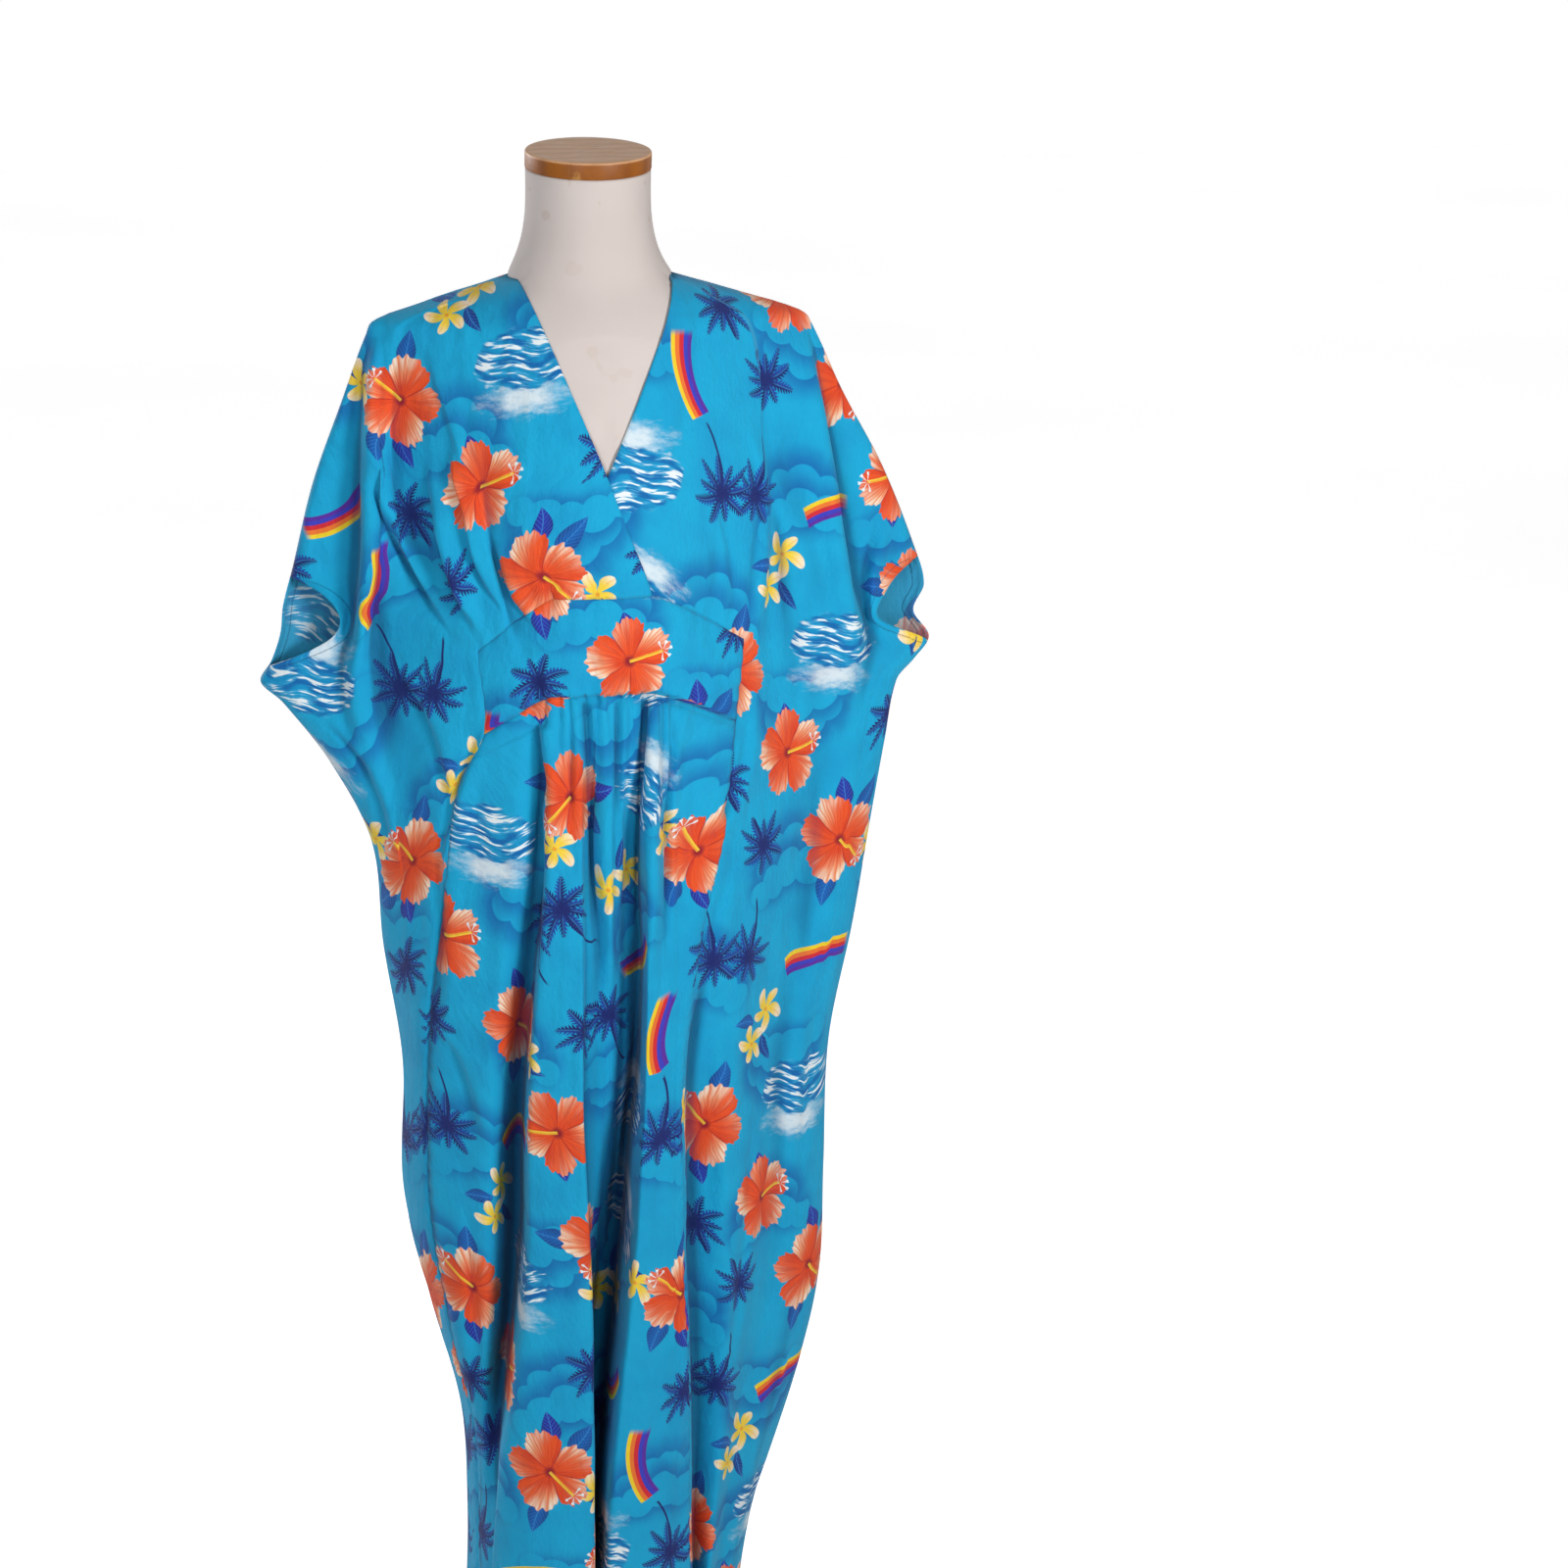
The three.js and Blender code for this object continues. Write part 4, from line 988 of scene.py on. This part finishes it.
def hibiscus(x, y, under, radius, turn, stamen):
    """An open flower of five ruffled petals with a long pistil."""
    r = distance(x, y)
    a = angle(x, y) + turn
    a = a + sin(a * 2 + 0.7) * 0.13
    which, petal = petals(a, 5)
    across = absolute(petal)
    ruffle = sin(a * 24 + sin(a * 7) * 1.5) * 0.034 + sin(a * 47 + 2) * 0.020
    edge = (cos(petal * math.pi) ** 0.42 * 0.42 + 0.58 + ruffle) * radius
    reach = r / edge
    mask = within(r, edge, 0.5)
    own = sin(which * 2.4 + 1.0) * 0.5 + 0.5
    wave = noise(petal * 5, reach * 0.8, which, scale=1.6, detail=2.0)
    streak = step(noise(petal * 15, reach * 1.1, which, scale=1.0, detail=2.0), 0.36, 0.60)
    light = step(reach, 0.24, 0.92) * step(petal + (wave - 0.5) * 0.7, -0.36, 0.36)
    tone = blend(step(wave, 0.35, 0.7) * 0.6, ORANGE, RED)
    tone = blend(light * (0.32 + 0.68 * own) * (0.45 + 0.55 * streak), tone, PEACH)
    tone = blend(step(reach, 0.62, 0.96) * light * streak * (0.25 + 0.75 * own), tone, PETAL_WHITE)
    veins = step(sin(petal * 64 + sin(reach * 5 + which) * 1.2), 0.5, 1.0)
    tone = blend(veins * step(reach, 1.05, 0.25) * 0.6, tone, RED)
    fold = step(petal, -0.36, -0.5) * step(reach, 1.1, 0.5)
    tone = blend(fold * 0.8, tone, RED)
    tone = blend(step(across, 0.47, 0.5) * 0.7, tone, CRIMSON)
    tone = blend(step(r, 8, 2), tone, CRIMSON)
    colour = blend(mask, under, tone)
    p, q = turned(x, y, stamen)
    stem_length = radius * 0.78
    stem = step(p, -0.5, 0.5) * within(p, stem_length, 0.5)
    stem = stem * step(absolute(q), 1.9, 1.2)
    colour = blend(stem, colour, blend(step(q, -1.2, 1.2), YELLOW, AMBER))
    tip = p - stem_length
    spray_r = distance(tip, q)
    spokes = cos(angle(tip, q) * 7)
    ahead = step(tip, -3.5, -1.5)
    lines = step(spokes, 0.72, 0.9) * step(spray_r, 9, 8) * step(spray_r, 1.0, 2.0)
    dots = step(spokes, 0.2, 0.5) * step(absolute(spray_r - 8.6), 1.6, 1.0)
    return blend(highest(lines, dots) * ahead, colour, WHITE)


def plumeria(x, y, under, radius):
    """A small flower of five narrow petals, yellow at the heart and white at the tips."""
    r = distance(x, y)
    which, petal = petals(angle(x, y) + r * 0.022, 5)
    long = sin(which * 1.9) * 0.10 + 0.90
    edge = cos(petal * math.pi) ** 0.75 * long * radius
    mask = highest(within(r, edge), step(r, radius * 0.22, radius * 0.18))
    tone = blend(step(r / radius, 0.3, 1.05), YELLOW, PETAL_WHITE)
    tone = blend(step(petal, 0.05, 0.38) * 0.6, tone, PETAL_SHADE)
    tone = blend(step(petal, -0.02, -0.06) * step(petal, -0.16, -0.06) * 0.35, tone, AMBER)
    tone = blend(step(r, 3.0, 1.0), tone, AMBER)
    return blend(mask, under, tone)


def palm(x, y, under, radius, trunk):
    """A palm's crown of feathery fronds that droop at their ends, on a thin bowed trunk."""
    bow = x - (y * y) * 0.006 - y * 0.10
    stem = step(absolute(bow), 1.6, 0.9) * step(y, 0.0, -1.0) * step(y, -trunk, -trunk + 6)
    under = blend(stem, under, NAVY)
    droop = y + (x * x) * (0.42 / radius)
    r = distance(x, droop)
    which, frond = petals(angle(x, droop) + 0.35 + r * 0.004, 10)
    long = (sin(which * 2.1 + 0.6) * 0.15 + 0.85) * radius
    reach = r / long
    held = highest(1 - reach, 0.0)
    across = absolute(frond) * r * (TAU / 10)
    barbs = sin((r - across * 1.1) * (TAU / 3.7) + which) * 0.5 + 0.5
    half = (held**0.45) * (1.6 + (barbs**0.8) * 6.2) * step(r, 1.0, 12.0) + held * 1.4
    mask = step(across, half + 0.4, half - 0.3) * step(reach, 1.0, 0.96)
    lit = step(frond, -0.02, 0.12) * step(reach, 0.12, 0.5)
    tone = blend(lit * (0.35 + 0.6 * barbs), NAVY, NAVY_LIGHT)
    rib = step(across, 0.75, 0.3) * step(reach, 0.2, 0.4)
    tone = blend(rib * 0.5, tone, LEAF_VEIN)
    return blend(mask, under, tone)


def rainbow(x, y, under):
    """A short arch of five stripes."""
    across = (distance(x, y + 78) - 68) / 21
    colour = RAINBOW[0]
    for k in range(1, 5):
        colour = blend(step(across, k / 5 - 0.015, k / 5 + 0.015), colour, RAINBOW[k])
    band = step(across, 0.0, 0.03) * step(across, 1.0, 0.97)
    ends = step(x + y * 0.3, -40, -39) * step(x - y * 0.1, 42, 34)
    return blend(band * ends, under, colour)


def surf(x, y, under):
    """Broken strokes of water, white over two blues, in an uneven patch with a soft white haze above."""
    edge = noise(x, y, scale=0.05, detail=2.0)
    oval = distance(x / 53, (y + 10) / 30) + (edge - 0.5) * 0.7
    inside = step(oval, 1.0, 0.84)
    bend = y + sin(x * 0.11) * 2.6 + x * x * 0.004
    strokes = noise(x * 0.034, bend * 0.22, scale=1.0, detail=2.0, roughness=0.55)
    deep = noise(x * 0.03, bend * 0.09, scale=1.0, detail=1.0)
    colour = blend(inside * (0.35 + 0.6 * step(deep, 0.42, 0.58)), under, DEEP)
    colour = blend(inside * step(strokes, 0.47, 0.54) * 0.6, colour, WATER)
    colour = blend(inside * step(strokes, 0.545, 0.59), colour, WHITE)
    ragged = noise(x * 0.05, y * 0.12, scale=1.0, detail=4.0, roughness=0.65)
    haze = step(distance(x / 50, (y - 24) / 20) + (ragged - 0.5) * 1.5, 1.0, 0.1)
    return blend(haze * 0.85 * (1 - inside), colour, WHITE)


# What each kind of motif is drawn of, from the back to the front: how it is drawn, where, its turn in
# degrees, and its own sizes and colour.
ART = {
    "bouquet": (
        (leaf, (20, 18), 38, 38, 11, BLUE_LEAF),
        (leaf, (6, 28), 84, 36, 10, VIOLET_LEAF),
        (leaf, (-16, -26), -124, 38, 10, BLUE_LEAF),
        (leaf, (18, -24), -32, 46, 6, DEEP_LEAF),
        (plumeria, (37, -30), 20, 25),
        (hibiscus, (-4, 2), 0, 43, 0.4, -60),
    ),
    "hibiscus": ((leaf, (-10, 18), 118, 25, 8, VIOLET_LEAF), (hibiscus, (2, -3), 0, 42, 1.1, 35)),
    "palms": ((palm, (-22, 14), -14, 36, 58), (palm, (19, 20), 12, 39, 66)),
    "palm": ((palm, (0, 3), 0, 36, 34),),
    "rainbow": ((rainbow, (0, 0), 0),),
    "plumeria": (
        (leaf, (-4, -10), -80, 32, 7, BLUE_LEAF),
        (leaf, (8, 8), 38, 33, 6, DEEP_LEAF),
        (plumeria, (-17, 8), 0, 26),
        (plumeria, (18, -9), 50, 24),
    ),
    "surf": ((surf, (0, 0), 0),),
}


def cloth_material(kind):
    """Printed plain-weave cloth, with one kind of motif drawn in its own coordinates."""
    tree = Tree("cloth_" + kind)
    x, y = tree.uv("motif")
    s, t = tree.uv("print")
    along, above = tree.uv("edge")
    colour = sky(*tree.uv("sky"), s, t)
    for draw, at, turn, *own in ART[kind]:
        colour = draw(*turned(x, y, turn, at), colour, *own)
    mottle = noise(s, t, scale=0.8, detail=3.0)
    colour = blend((mottle - 0.4) * 0.12, colour, WORN)
    thread = fraction(along / STITCH)
    stitch = step(absolute(above), 0.7, 0.35) * (step(thread, 0.0, 0.1) * step(thread, 0.78, 0.7))
    colour = blend(stitch * 0.55, colour, THREAD)
    # The wrong side's print is duller, and it is also painted darker as shade inside the sleeves.
    colour = blend(tree.attribute("wrong_side") * 0.42, colour, WRONG_SIDE_DULL_AND_SHADED)
    # Painted shade: the deeper the cloth lies in a fold, the darker its colour.
    colour = blend(tree.attribute("hollow") * 0.78, colour, FOLD_SHADE)
    weave = sin(s * (TAU / YARN)) * sin(t * (TAU / YARN)) * 0.5 + 0.5
    slub = noise(s * 0.25, t * 3.0, scale=1.0, detail=2.0)
    crumple = noise(s * 0.06, t * 0.03, scale=1.0, detail=4.0, roughness=0.6)
    doubled = step(above, 0.5, -0.5)
    height = weave * 0.035 + slub * 0.03 + crumple * 0.85 + doubled * 0.12
    height = height - step(absolute(above), 1.4, 0.2) * 0.12 + stitch * 0.14
    roughness = 0.60 + (slub * 0.10 + weave * 0.05)
    sockets = {"Sheen Weight": 0.08, "Sheen Roughness": 0.4, "Specular IOR Level": 0.25}
    return tree.shader(colour, roughness, height, 0.0042, **sockets)


CLOTH = {kind: cloth_material(kind) for kind in KINDS}

# Sections of the form by height: half width, front and back.
FORM_SECTIONS = (
    (NECK_TOP, 58, 58, 58),
    (1500, 58, 58, 58),
    (1474, 60, 58, 59),
    (1452, 66, 59, 60),
    (1440, 72, 61, 61),
    (1429.1, 90, 62, 60),
    (1422.1, 120, 67, 65),
    (1410.1, 158, 76, 72),
    (1392.1, 184, 84, 78),
    (1378.1, 182, 88, 81),
    (1346, 156, 105, 86),
    (1300, 143, 118, 89),
    (1235, 142, 123, 86),
    (1150, 134, 98, 76),
    (1060, 122, 84, 72),
    (960, 142, 90, 92),
    (870, 160, 92, 106),
    (FORM_BOTTOM, 148, 84, 96),
)


def in_neckline(x, z):
    """1 well within the V of the neckline and 0 beyond it."""
    at = float(np.clip(z, V_POINT, COLLAR))
    left, right = (by_height(NECK_EDGES[neck], at) for neck in ("lapped", "under"))
    return smooth(np.minimum(x - left, right - x) / 16) * float(smooth((z - V_POINT + 8) / 20))


def form_ring(z):
    """A level ring of the form, kept inside the dress where there is any."""
    turn = np.linspace(0, TAU, FORM_SIDES, endpoint=False)
    front = np.sin(turn) < 0
    half, ahead, behind = (by_height(FORM_SECTIONS, z, k) for k in (1, 2, 3))
    x, y = np.cos(turn), np.sin(turn) * np.where(front, ahead, behind)
    in_dress = float(smooth((COLLAR + 31 - z) / 34))
    under = min(z, COLLAR) + FORM_LIFT
    limited = np.minimum(half, reach_at(x, under) - FORM_SIDE)
    x = x * (half + (limited - half) * float(smooth((COLLAR + 14 - z) / 12)))
    shown_part = front * in_neckline(x + 14 * np.sign(-x), z)
    clear = -FORM_CLEAR * np.sqrt(np.abs(np.sin(turn))) * (1 - 0.7 * shown_part)
    room_front = np.maximum(y, surface_point("front", x, under, clear))
    room_back = np.minimum(y, surface_point("back", x, under, clear))
    y = y + (np.where(front, room_front, room_back) - y) * in_dress
    lean = math.tan(NECK_TILT) * smooth((z - NECK_FOOT) / (NECK_TOP - NECK_FOOT))
    return np.stack([x, y, z + y * lean], axis=1)


def form_rings():
    """The form's rings, averaged with their neighbours at the neck's foot and within the V."""
    torso, neck = np.arange(FORM_BOTTOM, 1380, 7.0), np.arange(1380, NECK_TOP, 3.0)
    heights = np.unique([*torso, *neck, NECK_TOP])
    rings = np.array([form_ring(z) for z in heights])
    foot = smooth((heights - 1433) / 10) * smooth((1492 - heights) / 16)
    low = smooth((heights - 1392) / 24) * (heights < 1450)
    bare = np.array([in_neckline(ring[:, 0], z) * (ring[:, 1] < 0) for ring, z in zip(rings, heights)])
    share = np.maximum(foot[:, None], bare * low[:, None])[..., None]
    for _ in range(FORM_EVENING):
        even = rings.copy()
        even[1:-1] = (rings[:-2] + 2 * rings[1:-1] + rings[2:]) / 4
        rings = rings + (even - rings) * share
    return rings


def ringed(name, rings):
    """A closed mesh through rings of equal counts, ordered upward, its ends closed by smaller rings."""
    closing = []
    for end in (rings[0], rings[-1]):
        middle = end.mean(axis=0)
        closing.append([middle + (end - middle) * k / END_ROWS for k in range(END_ROWS - 1, 0, -1)])
    rings = [*closing[0][::-1], *rings, *closing[1]]
    count = len(rings[0])
    points = np.concatenate(rings)
    faces = []
    for level in range(len(rings) - 1):
        for k in range(count):
            a, b = level * count + k, level * count + (k + 1) % count
            faces.append((a, b, b + count, a + count))
    hubs = [rings[0].mean(axis=0), rings[-1].mean(axis=0)]
    low, high, top = len(points), len(points) + 1, (len(rings) - 1) * count
    for k in range(count):
        faces.append((low, (k + 1) % count, k))
        faces.append((high, top + k, top + (k + 1) % count))
    mesh = bpy.data.meshes.new(name)
    mesh.from_pydata((np.concatenate([points, hubs]) * MM).tolist(), [], faces)
    mesh.polygons.foreach_set("use_smooth", [True] * len(faces))
    mesh.update()
    return linked(name, mesh)


def lathe(name, profile, sides):
    """A solid turned about the z axis from (radius, height) points ordered upward."""
    turn = np.linspace(0, TAU, sides, endpoint=False)
    x, y = np.cos(turn), np.sin(turn)
    return ringed(name, [np.stack([r * x, r * y, np.full(sides, float(z))], axis=1) for r, z in profile])


def disc(name, sizes):
    """A disc with rounded rims."""
    radius, thickness, rim = sizes["radius"], sizes["thickness"], sizes["rim"]
    bottom = []
    for k in range(RIM_STEPS + 1):
        turn = math.pi / 2 * k / RIM_STEPS
        bottom.append((radius - rim + rim * math.sin(turn), rim - rim * math.cos(turn)))
    return lathe(name, bottom + [(r, thickness - z) for r, z in bottom[::-1]], sizes["sides"])


def form_material():
    """Off-white cotton cover, finely woven, a little yellowed and soiled near the cap."""
    tree = Tree("form_cover")
    x, y, z = tree.place()
    around = angle(x, y) * COVER_RADIUS
    mottle = noise(x, y, z, scale=9.0, detail=4.0)
    colour = blend(mottle, srgb(207, 195, 190), srgb(222, 212, 209))
    spots = noise(x, y, z, scale=46.0, detail=1.0)
    near_cap = step(z, 1.47, 1.525)
    spotted = step(spots, 0.70, 0.76) * (0.09 + 0.4 * near_cap)
    colour = blend(spotted, colour, srgb(176, 140, 104))
    weave = sin(around * (TAU / COVER_YARN)) * sin(z * (TAU / COVER_YARN)) * 0.5 + 0.5
    slub = noise(around * 300, z * 2600, scale=1.0, detail=2.0)
    dents = noise(x, y, z, scale=14.0, detail=2.0)
    colour = blend(slub * 0.10, colour, srgb(170, 158, 148))
    height = weave * 0.05 + slub * 0.05 + dents * 0.9
    return tree.shader(colour, 0.82 + (slub * 0.12), height, 0.003, **{"Sheen Weight": 0.15})


def wood_material():
    """Varnished beech, banded along x and worn in places; dark round the side, paler on top, partly as
    painted light from above.
    """
    tree = Tree("cap_wood")
    x, y, z = tree.place()
    warp = noise(x, y, z, scale=22.0, detail=3.0)
    bands = sin((y * 330 + warp * 9) + noise(x * 6, y * 90, z * 30, scale=1.0) * 5) * 0.5 + 0.5
    pores = noise(x * 60, y * 900, z * 900, scale=1.0, detail=2.0)
    wear = noise(x, y, z, scale=60.0, detail=3.0)
    side = blend(bands * 0.6, srgb(150, 84, 4), srgb(118, 60, 4))
    top = blend(bands * 0.5, srgb(222, 172, 128), srgb(196, 142, 98))
    on_top = step(z - y * math.tan(NECK_TILT), 1.5425, 1.5450)
    # Painted light: the top is paler partly in its own tone and partly as if lit from above.
    colour = blend(on_top, side, top)
    colour = blend(step(pores, 0.56, 0.72) * 0.4, colour, srgb(98, 58, 30))
    colour = blend(step(wear, 0.62, 0.74) * 0.4, colour, srgb(216, 164, 88))
    height = pores * 0.3 + wear * 0.4
    sockets = {"Coat Weight": 0.06, "Coat Roughness": 0.3, "Specular IOR Level": 0.35}
    return tree.shader(colour, 0.36 + wear * 0.22, height, 0.0006, **sockets)


def paint_material():
    """Black satin paint with faint orange peel, dust and rubbed places."""
    tree = Tree("stand_paint")
    x, y, z = tree.place()
    dust = noise(x, y, z, scale=30.0, detail=4.0)
    peel = noise(x, y, z, scale=700.0, detail=1.0)
    rub = noise(x * 8, y * 8, z * 60, scale=1.0, detail=3.0)
    colour = blend(step(dust, 0.45, 0.8) * 0.25, srgb(22, 22, 24), srgb(96, 94, 90))
    colour = blend(step(rub, 0.66, 0.74) * 0.3, colour, srgb(120, 120, 122))
    return tree.shader(colour, 0.30 + dust * 0.22, peel * 0.2 + dust * 0.2, 0.0004)


def shown(obj, node, material=None):
    """Fixes a piece to the frame in place of its CAD node."""
    if material:
        obj.data.materials.append(material)
    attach(obj, "root")
    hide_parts(node)
    return obj


def build_stand():
    shown(ringed("form", form_rings()), "form_torso", form_material())
    cap = disc("cap", CAP)
    turn = Euler((NECK_TILT, 0, 0)).to_matrix().to_4x4()
    turn.translation = Vector((0, 0, (NECK_TOP + CAP["gap"]) * MM))
    cap.data.transform(turn)
    shown(cap, "neck_cap", wood_material())
    paint = paint_material()
    low, high = BASE["thickness"] + POLE["gap"], FORM_BOTTOM - POLE["gap"]
    tube = [(POLE["radius"], z) for z in np.linspace(low, high, POLE["rings"])]
    shown(lathe("pole", tube, POLE["sides"]), "stand_pole", paint)
    shown(disc("base", BASE), "stand_base", paint)


# The pieces of cloth by the part's node: where on the print each was cut, its width and length laid flat
# and its area in metres, and how it is held.
PIECES = {
    "front_lapped": {"shift": (40, 60), "flat": (0.38, 1.45), "area": 0.179, "held": "draped"},
    "front_under": {"shift": (210, -120), "flat": (0.41, 1.50), "area": 0.32, "held": "draped"},
    "midriff_band": {"shift": (-90, 200), "flat": (0.27, 0.14), "area": 0.0245, "held": "stretched"},
    "skirt_front": {"shift": (150, 30), "flat": (0.50, 1.02), "area": 0.453, "held": "gathered"},
    "back": {"shift": (0, 330), "flat": (0.68, 1.50), "area": 0.781, "held": "draped"},
}


def build_dress():
    lapped, under, back = cloth_grid("front"), cloth_grid("front", "under"), cloth_grid("back")
    column = (lapped[0][:-1, None] + lapped[0][1:, None]) / 2
    row = (FINE_ROWS[:-1] + FINE_ROWS[1:]) / 2
    left, lap, right = LEFT_SEAM.column, LAP.column, RIGHT_SEAM.column
    middle = (column > left) & (column < right)
    bodice, skirt = row < BAND_TOP, row > BAND_BOTTOM
    fine, fine_back = FINE_COLUMNS["front"], FINE_COLUMNS["back"]
    centre = (left + right) // 2 * fine
    # Each piece's grid and cells in it, and the row and column that its flat cloth is measured from.
    cut = {
        "front_lapped": (lapped, (column < left) | ((column < lap) & bodice), 0, left * fine),
        "front_under": (under, (column > right) | ((column > lap) & bodice), 0, right * fine),
        "midriff_band": (lapped, middle & ~bodice & ~skirt, ROW_START[BAND_TOP], centre),
        "skirt_front": (lapped, middle & skirt, ROW_START[BAND_BOTTOM], centre),
        "back": (back, True, 0, LAST_COLUMN["back"] // 2 * fine_back),
    }
    for node, ((_, points, normal), cells, top_row, reference) in cut.items():
        side = "back" if node == "back" else "front"
        cells = np.broadcast_to(cells, (points.shape[0] - 1, points.shape[1] - 1))
        shift = PIECES[node]["shift"]
        obj = cloth_piece("cloth_" + node, side, points, normal, cells, top_row, reference, shift)
        shown(obj, node)


# How brightly the surroundings and the floor light the dress, and how bright they look to the camera.
AMBIENT, BACKDROP = 0.16, 1.0
FLOOR_GLOW, FLOOR_SEEN = 0.16, 0.94
FLOOR_SHADE = 0.45  # painted shadow: to the camera the floor is this much darker under the stand
FLOOR_HALF, FLOOR_LINES = 14, 29


def build_floor():
    mesh = bpy.data.meshes.new("floor")
    steps = np.linspace(-FLOOR_HALF, FLOOR_HALF, FLOOR_LINES)
    points = [(x, y, 0.0) for y in steps for x in steps]
    first = [row * FLOOR_LINES + k for row in range(FLOOR_LINES - 1) for k in range(FLOOR_LINES - 1)]
    mesh.from_pydata(points, [], [(a, a + 1, a + FLOOR_LINES + 1, a + FLOOR_LINES) for a in first])
    floor = linked("floor", mesh)
    tree = Tree("floor")
    x, y, _ = tree.place()
    pale = blend(noise(x, y, scale=0.7, detail=2.0), srgb(234, 234, 234), srgb(242, 242, 242))
    seen = tree.wire("Is Camera Ray", "ShaderNodeLightPath")
    # A painted shadow: around the stand the floor glows less to the camera.
    near = step(distance(x, y), 0.36, 0.08)
    strength = seen * (FLOOR_SEEN - FLOOR_GLOW - near * FLOOR_SHADE) + FLOOR_GLOW
    glow = {"Emission Color": pale, "Emission Strength": strength}
    mesh.materials.append(tree.shader(pale, 0.85, **glow))


def area_light(name, at, to, size, watts, colour=(1, 1, 1), spread=180):
    """A round light that looks from one place to another."""
    data = bpy.data.lights.new(name, "AREA")
    data.spread = math.radians(spread)
    data.shape, data.size, data.energy, data.color = "DISK", size, watts, colour
    light = linked(name, data)
    light.location = at
    light.rotation_euler = (Vector(to) - Vector(at)).to_track_quat("-Z", "Y").to_euler()


def build_light():
    """Even white surroundings with a soft key light from the right, a fill light and one behind.

    The world looks as bright as BACKDROP, and lights the dress only as AMBIENT.
    """
    world = bpy.data.worlds.new("studio")
    world.use_nodes = True
    nodes, links = world.node_tree.nodes, world.node_tree.links
    background = nodes["Background"]
    background.inputs[0].default_value = (1.0, 1.0, 1.0, 1.0)
    seen = nodes.new("ShaderNodeLightPath")
    strength = nodes.new("ShaderNodeMapRange")
    strength.inputs[3].default_value, strength.inputs[4].default_value = BACKDROP, AMBIENT
    links.new(seen.outputs["Is Diffuse Ray"], strength.inputs[0])
    links.new(strength.outputs[0], background.inputs[1])
    bpy.context.scene.world = world
    area_light("key", (1.45, -2.65, 1.66), (0, 0, 1.34), 0.8, 15.4, (1.0, 0.975, 0.945), 90)
    area_light("fill", (-1.5, -2.8, 1.6), (0, 0, 1.3), 1.3, 9, (0.95, 0.98, 1.0), 90)
    area_light("back", (-2.1, 2.4, 1.7), (0, 0, 1.0), 1.2, 46)


# The camera as worked out from the photo: 3.9 m away, 9 degrees to the left of the middle and above it,
# its picture shifted because the photo's middle isn't the lens's.
CAMERA = {
    "at": (-0.5397, -3.4075, 1.9076), "azimuth": -9.0, "pitch": 15.663,
    "lens": 85.5, "sensor": 36.0, "shift_x": 0.125,
}


def build_camera():
    data = bpy.data.cameras.new("camera")
    data.lens, data.sensor_width, data.shift_x = CAMERA["lens"], CAMERA["sensor"], CAMERA["shift_x"]
    data.clip_end = 100
    camera = linked("camera", data)
    camera.location = CAMERA["at"]
    camera.rotation_euler = (math.radians(90 - CAMERA["pitch"]), 0, math.radians(CAMERA["azimuth"]))
    bpy.context.scene.camera = camera


build_dress()
build_stand()
build_floor()
build_light()
build_camera()
bpy.context.scene.view_settings.view_transform = "Standard"
